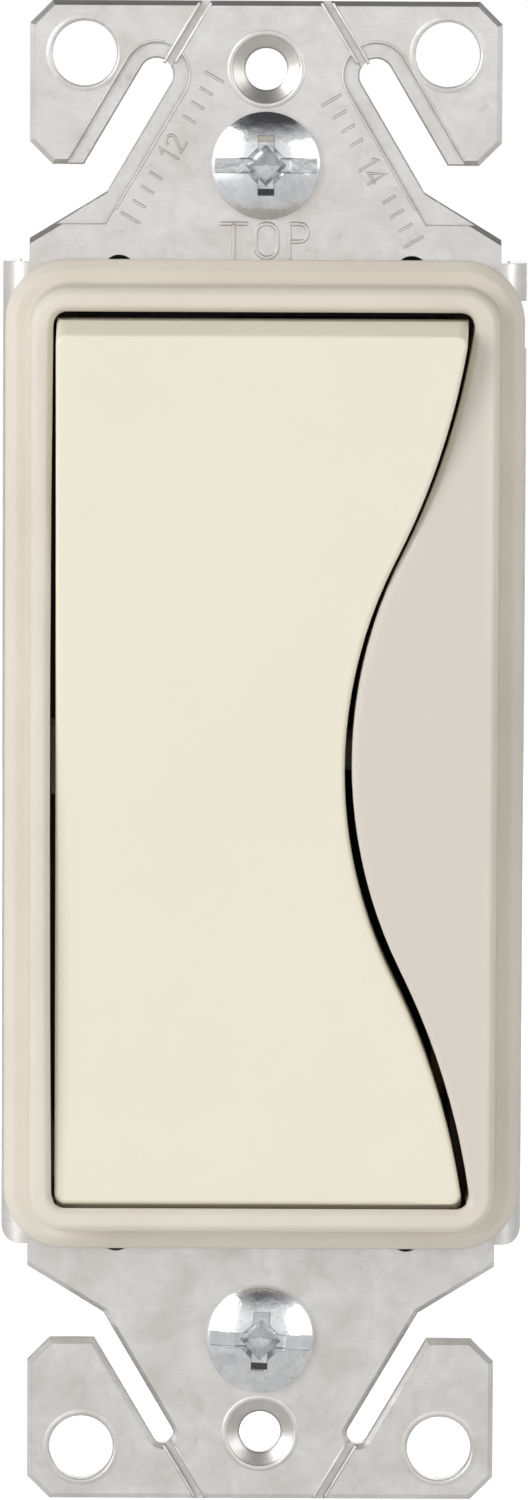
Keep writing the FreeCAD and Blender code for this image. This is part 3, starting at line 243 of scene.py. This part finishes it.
def fibre_board(name):
    """Vulcanised fibre: matted strands and a dull, slightly furry face."""
    material, nodes, surface = shader(name, Specular_IOR_Level=0.25, Sheen_Weight=0.15)
    place = nodes.place()
    strands = nodes.noise(nodes.place((0.25, 1, 1)), 0.3, 5.0, 0.7, 1.5)
    tint = nodes.blend(nodes.remap(strands, 0.3, 0.7), colour(150, 134, 106), colour(196, 180, 148))
    rough = nodes.remap(nodes.noise(place, 0.8), 0.3, 0.7, 0.75, 0.92)
    join(nodes, surface, Base_Color=tint, Roughness=rough, Normal=nodes.bump(strands, 0.02))
    return material


# ------------------------------------------------------------------ finishes, one per material slot

FRAME_HIGH = box_mm("front_frame")[1]
COVERED = (FRAME_HIGH.x - 1.2, FRAME_HIGH.z - 1.2)      # the strap under the frame, painted nearly black as shade
PLATE_HOLE_DROP, DIMPLE_RADIUS, PLATE_HOLE_RADIUS = 4.78, 2.5, 1.45     # drop from the strap's end
PANEL_SIDE, PANEL_END = FRAME_HIGH.x - 2.1, FRAME_HIGH.z - 3.5           # where the panel's painted shade ends
TERMINAL_FRONT = box_mm("load_terminal")[0].y


def strap_edges_and_shade(nodes, place, tint):
    """Darker cut edges, painted shade on the plate holes' sunk seats and round their bores, and painted
    shade, nearly black, where the frame covers the strap.

    The black keeps bright steel from showing through the gaps round the rocker.
    """
    axes = nodes.split(place)
    facing = nodes.split(nodes.add("ShaderNodeNewGeometry").outputs["True Normal"])
    sheared = nodes.math("MULTIPLY", nodes.remap(nodes.math("ABSOLUTE", facing["Y"]), 0.35, 0.2),
                         nodes.remap(nodes.math("ABSOLUTE", facing["Z"]), 0.15, 0.3, 0.0, 0.85))
    tint = nodes.blend(sheared, tint, colour(84, 76, 70))
    across, up = nodes.math("ABSOLUTE", axes["X"]), axes["Z"]
    # painted shade: each plate hole's sunk seat a little darker, and a dark ring round its bore
    for level in (STRAP_HIGH.z - PLATE_HOLE_DROP, STRAP_LOW.z + PLATE_HOLE_DROP):
        hole = nodes.add("ShaderNodeVectorMath", {0: place, 1: (0.0, STRAP_FACE, level)},
                         operation="DISTANCE").outputs["Value"]
        seat = nodes.remap(hole, DIMPLE_RADIUS, DIMPLE_RADIUS - 0.3, 0.0, 0.4)
        bore = nodes.remap(hole, PLATE_HOLE_RADIUS + 0.24, PLATE_HOLE_RADIUS + 0.08, 0.0, 0.85)
        tint = nodes.blend(seat, tint, colour(150, 142, 136))
        tint = nodes.blend(bore, tint, colour(84, 76, 70))
    # painted shade: nearly black where the frame covers the strap
    frame_shade = nodes.math("MULTIPLY", nodes.remap(across, COVERED[0], COVERED[0] - 0.3),
                        nodes.remap(nodes.math("ABSOLUTE", up), COVERED[1], COVERED[1] - 0.3))
    return nodes.blend(frame_shade, tint, colour(52, 44, 36))


def terminal_front_shade(nodes, place, tint):
    """Paints shade on a terminal's front edge, so that no brass shows through the gap beside the rocker.
    """
    depth = nodes.split(place)["Y"]
    edge = nodes.remap(depth, TERMINAL_FRONT + 0.7, TERMINAL_FRONT + 0.2, 0.0, 0.9)
    return nodes.blend(edge, tint, colour(34, 26, 18))


def panel_shade(nodes, place, tint):
    """Paints shade on the fixed panel inside the frame, a little greyer, as the photograph has it."""
    axes = nodes.split(place)
    ends = nodes.remap(nodes.math("ABSOLUTE", axes["Z"]), PANEL_END, PANEL_END - 1.0)
    sides = nodes.math("MULTIPLY", nodes.remap(axes["X"], -2.0, 4.0),
                       nodes.remap(axes["X"], PANEL_SIDE, PANEL_SIDE - 1.0))
    panel = nodes.math("MULTIPLY", ends, sides)
    return nodes.blend(panel, tint, colour(218, 211, 201))


# an outline colour paints dark shade along a finish's sharp edges
FINISH = {
    "strap_steel": rolled("strap_steel", colour(236, 235, 233), colour(212, 208, 204), 0.36, "X", 0.85,
                          edge_wear_and_shade=0.8, tarnish=colour(172, 164, 156), tones=strap_edges_and_shade,
                          outline=colour(112, 104, 96)),
    "coined_steel": rolled("coined_steel", colour(228, 226, 223), colour(202, 198, 194), 0.45, "X", 0.85,
                           edge_wear_and_shade=0.75, outline=colour(118, 112, 106), edge_reach=0.07),
    # the fixed panel inside the frame gets painted shade
    "frame_plastic": moulded("frame_plastic", colour(229, 222, 209), colour(222, 214, 201), 0.42,
                             specks=0.35, soft=0.5, tones=panel_shade),
    "rocker_plastic": moulded("rocker_plastic", colour(240, 235, 216), colour(238, 233, 213), 0.36,
                              specks=0.2),
    "body_plastic": moulded("body_plastic", colour(44, 43, 46), colour(34, 33, 36), 0.5, 0.5, 0.012,
                            dust=colour(84, 80, 76)),
    "plunger_plastic": moulded("plunger_plastic", colour(214, 212, 200), colour(204, 201, 188), 0.45),
    "spring_steel": rolled("spring_steel", colour(196, 196, 200), colour(160, 160, 166), 0.26, "X", 1.0),
    "brass": rolled("brass", colour(226, 192, 118), colour(200, 160, 88), 0.28, "Z", 1.0,
                    tarnish=colour(140, 98, 52)),
    # painted shade on the terminals' front edges
    "terminal_brass": rolled("terminal_brass", colour(226, 192, 118), colour(200, 160, 88), 0.28, "Z",
                             1.0, tarnish=colour(140, 98, 52), tones=terminal_front_shade),
    "contact_silver": plated("contact_silver", colour(226, 226, 222), colour(190, 190, 186), 0.24),
    "screw_brass": plated("screw_brass", colour(232, 200, 122), colour(204, 166, 92), 0.2,
                          grime=colour(120, 88, 50), outline=colour(96, 66, 32)),
    "clamp_steel": rolled("clamp_steel", colour(206, 206, 206), colour(172, 172, 170), 0.32, "Z", 0.95),
    "ground_green": plated("ground_green", colour(38, 128, 66), colour(22, 92, 46), 0.26, 0.55,
                           grime=colour(16, 60, 32), outline=colour(10, 44, 24)),
    "screw_zinc": plated("screw_zinc", colour(236, 237, 238), colour(214, 215, 217), 0.14,
                         grime=colour(120, 118, 116), outline=colour(98, 95, 92)),
    "fibre": fibre_board("fibre"),
    "rivet_steel": rolled("rivet_steel", colour(200, 194, 188), colour(166, 158, 150), 0.34, "Y", 0.95),
}


def dress(thing, slot):
    """Gives a piece, or a CAD node as it stands, the finish of a material slot."""
    thing.data.materials.clear()
    thing.data.materials.append(FINISH[slot])


DRESSED = {
    "mounting_strap": "strap_steel", "front_frame": "frame_plastic", "rocker": "rocker_plastic",
    "back_body": "body_plastic", "plunger": "plunger_plastic", "plunger_spring": "spring_steel",
    "contact_cradle": "brass", "moving_contact": "contact_silver", "fixed_contact": "contact_silver",
    "line_terminal": "terminal_brass", "load_terminal": "terminal_brass",
    "line_clamp_plate": "clamp_steel", "load_clamp_plate": "clamp_steel",
    "screw_retainer_top": "fibre", "screw_retainer_bottom": "fibre",
    "body_rivets": "rivet_steel", "ground_screw": "ground_green",
    "mounting_screw_top": "screw_zinc", "mounting_screw_bottom": "screw_zinc",
    "line_terminal_screw": "screw_brass", "load_terminal_screw": "screw_brass",
}
for node, slot in DRESSED.items():
    dress(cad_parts[node], slot)

# ------------------------------------------------------------------ mesh helpers, in millimetres


def to_object(name, mesh_data, body, slot, sharp=35.0, finish=None):
    """Turns a bmesh in millimetres into a smooth-shaded piece that rides on a CAD body."""
    bmesh.ops.remove_doubles(mesh_data, verts=mesh_data.verts, dist=1e-5)
    bmesh.ops.recalc_face_normals(mesh_data, faces=mesh_data.faces)
    bmesh.ops.scale(mesh_data, vec=(MM, MM, MM), verts=mesh_data.verts)
    for face in mesh_data.faces:
        face.smooth = True
    for edge in mesh_data.edges:
        if len(edge.link_faces) == 2 and edge.calc_face_angle() > math.radians(sharp):
            edge.smooth = False
    mesh = bpy.data.meshes.new(name)
    mesh_data.to_mesh(mesh)
    mesh_data.free()
    thing = bpy.data.objects.new(name, mesh)
    bpy.context.scene.collection.objects.link(thing)
    dress(thing, finish or slot)
    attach(thing, body)
    return thing


def rings(mesh_data, rows, closed_ends=True):
    """Skins rows of points, each row a closed ring."""
    made = [[mesh_data.verts.new(point) for point in row] for row in rows]
    for first, second in zip(made, made[1:]):
        for number in range(len(first)):
            after = (number + 1) % len(first)
            mesh_data.faces.new((first[number], first[after], second[after], second[number]))
    if closed_ends:
        mesh_data.faces.new(made[0])
        mesh_data.faces.new(list(reversed(made[-1])))


def ring(centre, radius, level, steps):
    """Points round an axis along Y."""
    turn = 2 * math.pi / steps
    return [(centre.x + radius * math.cos(turn * k), level, centre.z + radius * math.sin(turn * k))
            for k in range(steps)]


def lathe(mesh_data, profile, steps=64, centre=Vector((0, 0, 0))):
    """A form turned about an axis along Y from (radius, level) pairs; a closed profile gives a ring."""
    is_ring = profile[0] == profile[-1]
    rings(mesh_data, [ring(centre, radius, level, steps) for radius, level in profile], not is_ring)


def prism(mesh_data, outline, low, high, across):
    """A closed block: an outline in (X or Z, Y), drawn out between two levels of the other axis."""
    def point(side, level, depth):
        return (depth, level, side) if across == "X" else (side, level, depth)
    rings(mesh_data, [[point(side, level, depth) for side, level in outline] for depth in (low, high)])


def cut(mesh_data, *tools):
    """Takes closed bmesh tools away from a closed bmesh, and returns what is left."""
    def as_object(data):
        mesh = bpy.data.meshes.new("cutting")
        bmesh.ops.recalc_face_normals(data, faces=data.faces)
        data.to_mesh(mesh)
        data.free()
        thing = bpy.data.objects.new("cutting", mesh)
        bpy.context.scene.collection.objects.link(thing)
        return thing
    blank = as_object(mesh_data)
    used = [as_object(tool) for tool in tools]
    for tool in used:
        step = blank.modifiers.new("cut", "BOOLEAN")
        step.operation, step.solver, step.object = "DIFFERENCE", "EXACT", tool
    bpy.context.view_layer.update()
    result = bmesh.new()
    result.from_mesh(blank.evaluated_get(bpy.context.evaluated_depsgraph_get()).to_mesh())
    for thing in (blank, *used):
        mesh = thing.data
        bpy.data.objects.remove(thing)
        bpy.data.meshes.remove(mesh)
    return result


# ------------------------------------------------------------------ screws

PITCH = 0.794                    # 32 threads to the inch
THREAD_DEPTH = 0.42
THREAD_FLANK, THREAD_CREST = 3.4, 1.35      # how steep its sides are, and how wide its top is
THREAD_STEPS = 30
ROWS_PER_TURN = 10


def thread(mesh_data, crest, start, end):
    """A screw thread about Y: a tube whose radius winds up and down, with run-outs at both ends."""
    rows = []
    count = int((end - start) / PITCH * ROWS_PER_TURN)
    for row in range(count + 1):
        level = start + (end - start) * row / count
        fade = min(1.0, (level - start) / PITCH, (end - level) / PITCH)
        points = []
        for step in range(THREAD_STEPS):
            phase = (level / PITCH - step / THREAD_STEPS) % 1.0
            hill = min(1.0, max(0.0, THREAD_CREST - abs(phase - 0.5) * THREAD_FLANK))
            radius = crest - THREAD_DEPTH * (1.0 - hill * fade)
            turn = 2 * math.pi * step / THREAD_STEPS
            points.append((radius * math.cos(turn), level, radius * math.sin(turn)))
        rows.append(points)
    rings(mesh_data, rows)


def dome(head, rise, rim, steps=9):
    """The profile of a crowned head, from the middle of its top to its seat."""
    crown = rise - rim
    radius = (head * head + crown * crown) / (2 * crown)
    profile = []
    for step in range(1, steps + 1):
        reach = head * step / steps
        profile.append((reach, -rise + radius - math.sqrt(radius * radius - reach * reach)))
    rolled_edge = [(head, -rim * 0.55), (head - 0.06, -rim * 0.15), (head - 0.16, 0.0)]
    return [(0.02, -rise)] + profile[:-1] + [(head - 0.03, -rim - 0.02)] + rolled_edge


def recess(rise, width, reach, slot_depth, slot_reach):
    """The tools for a combination drive: a slot, four stepped wings and a four-sided point."""
    top = -rise - 1.0
    half = width / 2
    slot, upright, level_wing, point = (bmesh.new() for _ in range(4))
    floor = -rise + slot_depth
    prism(slot, [(-half, top), (half, top), (half * 0.9, floor), (-half * 0.9, floor)],
          -slot_reach, slot_reach, "X")
    wing = [(-reach, top), (reach, top), (reach * 0.96, floor - 0.15), (reach * 0.76, floor + 0.12),
            (-reach * 0.76, floor + 0.12), (-reach * 0.96, floor - 0.15)]
    prism(upright, wing, -half, half, "X")
    prism(level_wing, wing, -half * 0.8, half * 0.8, "Z")
    lathe(point, [(reach * 0.9, top), (reach * 0.86, -rise + 0.1), (reach * 0.66, floor + 0.15),
                  (0.1, floor + 1.0)], 4)
    return slot, upright, level_wing, point


def make_screw(node, body, slot, form, turn=0.0, way=Matrix.Identity(4)):
    """A turned and threaded screw that stands for a CAD node: built along Y, then turned its way."""
    low, high = box_mm(node)
    head, rise, rim, crest, neck, thread_start, drive = form
    blank = bmesh.new()
    lathe(blank, dome(head, rise, rim) + [(neck + 0.12, 0.0), (neck, 0.12), (neck, thread_start)])
    cut_head = cut(blank, *recess(rise, *drive))
    length = max(high - low) - rise
    thread(cut_head, crest, thread_start - 0.05, length)
    spin = Matrix.Rotation(math.radians(turn), 4, "Y")
    centre = (low + high) / 2
    seat = way @ Vector((0, 1, 0))
    along = max(range(3), key=lambda axis: abs(seat[axis]))
    sign = 1 if seat[along] > 0 else -1
    centre[along] = (low[along] if sign > 0 else high[along]) + rise * sign
    bmesh.ops.transform(cut_head, matrix=Matrix.Translation(centre) @ way @ spin, verts=cut_head.verts)
    thing = to_object(node + "_turned", cut_head, body, slot, 25.0)
    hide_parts(node)
    return thing


# head radius, crown, rim, thread crest, neck radius, start of the thread, then the drive:
# slot width, wing reach, slot depth, slot reach
BOX_SCREW = (3.8, 1.45, 0.4, 1.75, 1.4, 2.2, (1.14, 2.15, 0.95, 4.2))
WIRE_SCREW = (3.6, 2.2, 1.0, 2.05, 1.62, 0.2, (1.1, 1.9, 1.0, 4.0))

for side, spin in (("top", 0.0), ("bottom", 3.0)):
    make_screw("mounting_screw_" + side, "mounting_screw_" + side, "screw_zinc", BOX_SCREW, spin)
for side, spin in (("line", 12.0), ("load", -20.0)):
    make_screw(side + "_terminal_screw", side + "_clamp", "screw_brass", WIRE_SCREW, spin, TO_LEFT)
make_screw("ground_screw", "ground_screw", "ground_green", WIRE_SCREW, 8.0, TO_UP)

# ------------------------------------------------------------------ rivets

RIVET_SHANK = 1.19


def make_rivets():
    """Two tubular rivets: flat front heads, and rear ends rolled over round their bores."""
    low, high = box_mm("body_rivets")
    mesh_data = bmesh.new()
    across = (low.x + high.x) / 2
    head = (high.x - low.x) / 2
    front, back = low.y, high.y
    for up in (low.z + head, high.z - head):
        centre = Vector((across, 0, up))
        profile = [(0.02, front), (head - 0.5, front), (head - 0.12, front + 0.12), (head, front + 0.42),
                   (head, front + 0.6), (RIVET_SHANK, front + 0.61), (RIVET_SHANK, back - 0.61),
                   (head - 0.12, back - 0.6), (head, back - 0.42), (head - 0.3, back - 0.12),
                   (head - 0.75, back), (head - 1.2, back - 0.12), (head - 1.42, back - 0.5),
                   (head - 1.46, back - 2.2), (0.02, back - 2.4)]
        lathe(mesh_data, profile, 40, centre)
    thing = to_object("body_rivets_rolled", mesh_data, "housing", "rivet_steel", 50.0)
    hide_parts("body_rivets")


make_rivets()

# ------------------------------------------------------------------ coined marks on the strap

SLOT_LEAN = 30.5                 # degrees from upright
UPPER_SLOT_ACROSS, UPPER_SLOT_DROP = 7.72, 5.2
UPPER_SCORE_INSET = 0.45
LOWER_SLOT_ACROSS, LOWER_SLOT_DROP = 6.95, 4.7
SCORE_HALF, SCORE_END_DROP = 0.4, 0.2
GAUGE_RADIUS = 2.36
GAUGE_END_DROP, EAR_END_DROP = 14.6, 11.0
EAR_HOLE_ACROSS, EAR_HOLE_DROP, EAR_HOLE_RADIUS = 12.75, 3.7, 2.28
BURIED = 0.004                   # how far the foot of a ridge sits in the metal
CROSSING = 0.004                 # every second stroke stands this much higher than the one it crosses

# width, height and slope of each kind of ridge
TOP_RIDGE, NUMBER_RIDGE, TICK_RIDGE = (0.14, 0.07, 0.09), (0.1, 0.075, 0.06), (0.1, 0.05, 0.06)
SCORE_RIDGE, GAUGE_RIDGE = (0.04, 0.045, 0.09), (0.04, 0.02, 0.09)

TOP_HEIGHT, TOP_GAP, TOP_DROP = 2.6, 0.45, 16.8
NUMBER_HEIGHT, NUMBER_GAP = 1.55, 0.25
TICK_STEP, LONG_TICK, SHORT_TICK = 1.15, 0.75, 0.5

# rims: distance out from the hole's edge, and level from the strap's face
EAR_RIM = [(0.46, BURIED), (0.34, -0.02), (0.22, -0.04), (0.12, -0.04), (0.05, 0.0),
           (0.01, 0.08), (-0.02, 0.22), (-0.02, 0.7), (0.02, 0.7), (0.46, BURIED)]
PLATE_RIM = [(0.26, BURIED), (0.16, -0.035), (0.06, -0.05), (-0.04, -0.04), (-0.12, 0.0),
             (-0.18, 0.07), (-0.12, 0.12), (0.26, BURIED)]


def offset_line(points, distance):
    """The same line moved sideways in the XZ plane, mitred at its corners; it may be a closed one."""
    moved = []
    closed = math.dist(points[0], points[-1]) < BURIED
    for number, point in enumerate(points):
        before = points[number - 1] if number else points[-2 if closed else 0]
        after = points[number + 1] if number + 1 < len(points) else points[1 if closed else -1]
        way_in = Vector((point[0] - before[0], point[1] - before[1]))
        way_out = Vector((after[0] - point[0], after[1] - point[1]))
        way_in = way_in if way_in.length > 0 else way_out
        way_out = way_out if way_out.length > 0 else way_in
        normal = (way_in.normalized() + way_out.normalized()).normalized()
        spread = distance / max(0.5, normal.dot(way_out.normalized()))
        moved.append((point[0] - normal.y * spread, point[1] + normal.x * spread))
    return moved


def raise_stroke(mesh_data, points, ridge, lift=0.0):
    """A flat-topped ridge along a line on the strap's face, with sloping sides and ends."""
    width, height, slope = ridge
    height += lift
    half = width / 2
    sides = [(-half - slope, BURIED), (-half, -height), (half, -height), (half + slope, BURIED)]
    lines = [offset_line(points, side) for side, _ in sides]
    closed = math.dist(points[0], points[-1]) < BURIED
    rows = [[(line[number][0], STRAP_FACE + rise, line[number][1])
             for line, (_, rise) in zip(lines, sides)] for number in range(len(points))]
    if not closed:
        for end, beside in ((0, 1), (-1, -2)):
            away = Vector(points[end]) - Vector(points[beside])
            step = away.normalized() * slope
            foot = [(x + step.x, STRAP_FACE + BURIED, z + step.y) for x, _, z in rows[end]]
            rows.insert(0 if end == 0 else len(rows), foot)
    rings(mesh_data, rows, closed_ends=not closed)


def arc_points(centre_x, centre_z, radius_x, radius_z, start, end, steps=14):
    """Points on an arc of an ellipse, from one angle to another in degrees."""
    turns = [math.radians(start + (end - start) * step / steps) for step in range(steps + 1)]
    return [(centre_x + radius_x * math.cos(turn), centre_z + radius_z * math.sin(turn))
            for turn in turns]


# strokes of each letter in a box one unit high, with the letter's own width
LETTERS = {
    "T": (0.72, [[(0.0, 0.95), (0.72, 0.95)], [(0.36, 0.95), (0.36, 0.0)]]),
    "O": (0.72, [arc_points(0.36, 0.68, 0.29, 0.27, 0, 180) + arc_points(0.36, 0.3, 0.29, 0.27, 180, 360)
                 + [(0.65, 0.68)]]),
    "P": (0.66, [[(0.08, 0.0), (0.08, 0.95)],
                 [(0.08, 0.95), (0.36, 0.95)] + arc_points(0.36, 0.71, 0.22, 0.24, 90, -90)
                 + [(0.08, 0.47)]]),
    "1": (0.34, [[(0.06, 0.74), (0.24, 0.94), (0.24, 0.0)]]),
    "2": (0.6, [arc_points(0.3, 0.7, 0.23, 0.24, 160, -20) + [(0.08, 0.06), (0.56, 0.06)]]),
    "4": (0.62, [[(0.46, 0.0), (0.46, 0.94), (0.06, 0.3), (0.58, 0.3)]]),
}


def letter_strokes(text, height, gap, middle_x, middle_z, angle=0.0):
    """Every stroke of a short word, centred on a point and turned in the plane of the strap."""
    total = sum(LETTERS[letter][0] for letter in text) * height + gap * (len(text) - 1)
    pen = -total / 2
    cosine, sine = math.cos(math.radians(angle)), math.sin(math.radians(angle))
    result = []
    for letter in text:
        width, strokes = LETTERS[letter]
        for stroke in strokes:
            local = [(pen + x * height, (z - 0.5) * height) for x, z in stroke]
            result.append([(middle_x + x * cosine - z * sine, middle_z + x * sine + z * cosine)
                           for x, z in local])
        pen += width * height + gap
    return result


def make_marks():
    """The word TOP, and a wire-strip gauge with its wire numbers along both slanted edges."""
    mesh_data = bmesh.new()
    end = STRAP_HIGH.z
    for number, stroke in enumerate(letter_strokes("TOP", TOP_HEIGHT, TOP_GAP, 0.0, end - TOP_DROP)):
        raise_stroke(mesh_data, stroke, TOP_RIDGE, CROSSING * (number % 2))
    lean = math.radians(SLOT_LEAN)
    for side, text, across, drop in ((-1, "12", 6.6, 10.3), (1, "14", 7.5, 11.9)):
        turn = (90 - SLOT_LEAN) * -side
        strokes = letter_strokes(text, NUMBER_HEIGHT, NUMBER_GAP, across * side, end - drop, turn)
        for number, stroke in enumerate(strokes):
            raise_stroke(mesh_data, stroke, NUMBER_RIDGE, CROSSING * (number % 2))
        for step in (-5, -4, -3, -2, 2, 3, 4, 5):
            reach = step * TICK_STEP
            x = (across - reach * math.sin(lean)) * side
            z = end - drop + reach * math.cos(lean)
            half = LONG_TICK if step % 5 == 0 else SHORT_TICK
            tick_x, tick_z = math.cos(lean) * half * side, math.sin(lean) * half
            raise_stroke(mesh_data, [(x - tick_x, z - tick_z), (x + tick_x, z + tick_z)], TICK_RIDGE)
    to_object("strap_marks", mesh_data, "housing", "strap_steel", 20.0, "coined_steel")


def slot_line(across, drop, way, shift, from_drop, to_drop):
    """Two points beside the middle line of a slanted slot, measured down from the strap's end."""
    edge = STRAP_HIGH.z if way > 0 else STRAP_LOW.z
    rate = math.tan(math.radians(SLOT_LEAN))
    return [(across + (level - drop) * rate + shift, edge - level * way)
            for level in (from_drop, to_drop)]


def make_rims():
    """Rolled edges of the holes, burrs beside the break-off scores, and the edge of the gauge bands."""
    mesh_data = bmesh.new()

    def rim(profile, radius, x, z):
        lathe(mesh_data, [(radius + out, STRAP_FACE + step) for out, step in profile],
              72, Vector((x, 0, z)))

    for x in (-EAR_HOLE_ACROSS, EAR_HOLE_ACROSS):
        for z in (STRAP_HIGH.z - EAR_HOLE_DROP, STRAP_LOW.z + EAR_HOLE_DROP):
            rim(EAR_RIM, EAR_HOLE_RADIUS, x, z)
    for z in (STRAP_HIGH.z - PLATE_HOLE_DROP, STRAP_LOW.z + PLATE_HOLE_DROP):
        rim(PLATE_RIM, DIMPLE_RADIUS, 0, z)
    for side in (-1, 1):
        for across, drop, way in ((UPPER_SLOT_ACROSS - UPPER_SCORE_INSET, UPPER_SLOT_DROP, 1),
                                  (LOWER_SLOT_ACROSS, LOWER_SLOT_DROP, -1)):
            for shift in (-SCORE_HALF, SCORE_HALF):
                line = slot_line(across, drop, way, shift, drop - 0.9, SCORE_END_DROP)
                raise_stroke(mesh_data, [(x * side, z) for x, z in line], SCORE_RIDGE)
        lean = math.radians(SLOT_LEAN)
        middle = (UPPER_SLOT_ACROSS, STRAP_HIGH.z - UPPER_SLOT_DROP)
        reach = GAUGE_RADIUS / math.cos(lean)
        inner = slot_line(UPPER_SLOT_ACROSS, UPPER_SLOT_DROP, 1, -reach, GAUGE_END_DROP, UPPER_SLOT_DROP)
        outer = slot_line(UPPER_SLOT_ACROSS, UPPER_SLOT_DROP, 1, reach, UPPER_SLOT_DROP, EAR_END_DROP)
        for start, end, first, last in ((180 + SLOT_LEAN, 108 + SLOT_LEAN, inner, None),
                                        (72 + SLOT_LEAN, SLOT_LEAN, None, outer)):
            turn = arc_points(*middle, GAUGE_RADIUS, GAUGE_RADIUS, start, end)
            line = [first[0]] + turn if first else turn + [last[1]]
            raise_stroke(mesh_data, [(x * side, z) for x, z in line], GAUGE_RIDGE)
    to_object("strap_rims", mesh_data, "housing", "strap_steel", 60.0, "coined_steel")


make_marks()
make_rims()

# ------------------------------------------------------------------ stage, light and camera


# name, place, width, height and power; every lamp is aimed at the origin
LAMPS = (
    ("key", (-0.75, -0.75, 0.35), 0.5, 0.7, 6.3),
    ("fill", (0.8, -0.8, 0.15), 0.5, 0.7, 2.2),
    ("rear", (0.1, 0.9, 0.3), 0.7, 0.7, 3.0),
)
FLOOR_HALF, FLOOR_DROP = 6.0, 0.04
FLOOR_GLOW = 0.68                # lifts the floor to white for the camera only


def lamp(name, place, width, height, power):
    """A soft rectangular lamp that the camera doesn't see."""
    data = bpy.data.lights.new(name, "AREA")
    data.shape, data.size, data.size_y = "RECTANGLE", width, height
    data.energy = power
    thing = bpy.data.objects.new(name, data)
    bpy.context.scene.collection.objects.link(thing)
    thing.location = place
    thing.rotation_euler = (-Vector(place)).to_track_quat("-Z", "Y").to_euler()
    thing.visible_camera = False


def make_floor():
    """White paper below the strap, which keeps its shadow."""
    mesh = bpy.data.meshes.new("floor")
    half, level = FLOOR_HALF, STRAP_LOW.z * MM - FLOOR_DROP
    corners = [(-half, -half, level), (half, -half, level), (half, half, level), (-half, half, level)]
    mesh.from_pydata(corners, [], [(0, 1, 2, 3)])
    thing = bpy.data.objects.new("floor", mesh)
    bpy.context.scene.collection.objects.link(thing)
    material, nodes, surface = shader("floor", Roughness=0.9, Specular_IOR_Level=0.1)
    paper = nodes.noise(nodes.place(), 60.0, 3.0)
    tint = nodes.blend(nodes.remap(paper, 0.3, 0.7), (0.92, 0.92, 0.92, 1), (0.95, 0.95, 0.95, 1))
    seen = nodes.add("ShaderNodeLightPath").outputs["Is Camera Ray"]
    surface.inputs["Emission Color"].default_value = (1, 1, 1, 1)
    join(nodes, surface, Base_Color=tint, Emission_Strength=nodes.math("MULTIPLY", seen, FLOOR_GLOW))
    mesh.materials.append(material)


def make_world():
    """White to the camera; a dark ceiling and grey ground in reflections; a softer level for light."""
    world = bpy.data.worlds.new("studio")
    bpy.context.scene.world = world
    world.use_nodes = True
    nodes = Nodes(world.node_tree)
    way = nodes.add("ShaderNodeLightPath").outputs
    up = nodes.split(nodes.add("ShaderNodeTexCoord").outputs["Generated"])["Z"]
    ceiling = nodes.remap(up, 0.4, 0.7)
    ground = nodes.remap(up, -0.45, -0.85)
    mirror = nodes.blend(ceiling, (0.96, 0.96, 0.97, 1), (0.06, 0.06, 0.065, 1))
    mirror = nodes.blend(ground, mirror, (0.62, 0.61, 0.6, 1))
    shade = nodes.blend(ceiling, (1, 0.99, 0.975, 1), (0.55, 0.55, 0.56, 1))
    seen = nodes.add("ShaderNodeBackground", {"Color": (1, 1, 1, 1), "Strength": 1.0}).outputs[0]
    glint = nodes.add("ShaderNodeBackground", {"Color": mirror, "Strength": 1.0}).outputs[0]
    soft = nodes.add("ShaderNodeBackground", {"Color": shade, "Strength": 0.56}).outputs[0]
    glossy = nodes.math("MAXIMUM", way["Is Glossy Ray"], way["Is Transmission Ray"])
    lit = nodes.add("ShaderNodeMixShader", {0: glossy, 1: soft, 2: glint}).outputs[0]
    final = nodes.add("ShaderNodeMixShader", {0: way["Is Camera Ray"], 1: lit, 2: seen}).outputs[0]
    nodes.add("ShaderNodeOutputWorld", {"Surface": final})


# fitted to the photograph's screws and strap corners; the place is in millimetres
CAMERA_PLACE = (-4.10, -600.0, 52.82)
CAMERA_TURN = (-5.002, -0.277, -0.398)      # pitch, roll and yaw in degrees
CAMERA_LENS = 203.95


def make_camera():
    """The photograph's point of view."""
    pitch, roll, yaw = (math.radians(angle) for angle in CAMERA_TURN)
    turn = Matrix.Rotation(yaw, 4, "Z") @ Matrix.Rotation(pitch, 4, "X") @ Matrix.Rotation(roll, 4, "Y")
    data = bpy.data.cameras.new("camera")
    data.lens, data.sensor_width, data.clip_start, data.clip_end = CAMERA_LENS, 36.0, 0.01, 50.0
    thing = bpy.data.objects.new("camera", data)
    thing.matrix_world = Matrix.Translation(Vector(CAMERA_PLACE) * MM) @ turn @ TO_UP
    bpy.context.scene.collection.objects.link(thing)
    bpy.context.scene.camera = thing


make_floor()
make_world()
for settings in LAMPS:
    lamp(*settings)
make_camera()

bpy.context.scene.view_settings.view_transform = "Standard"
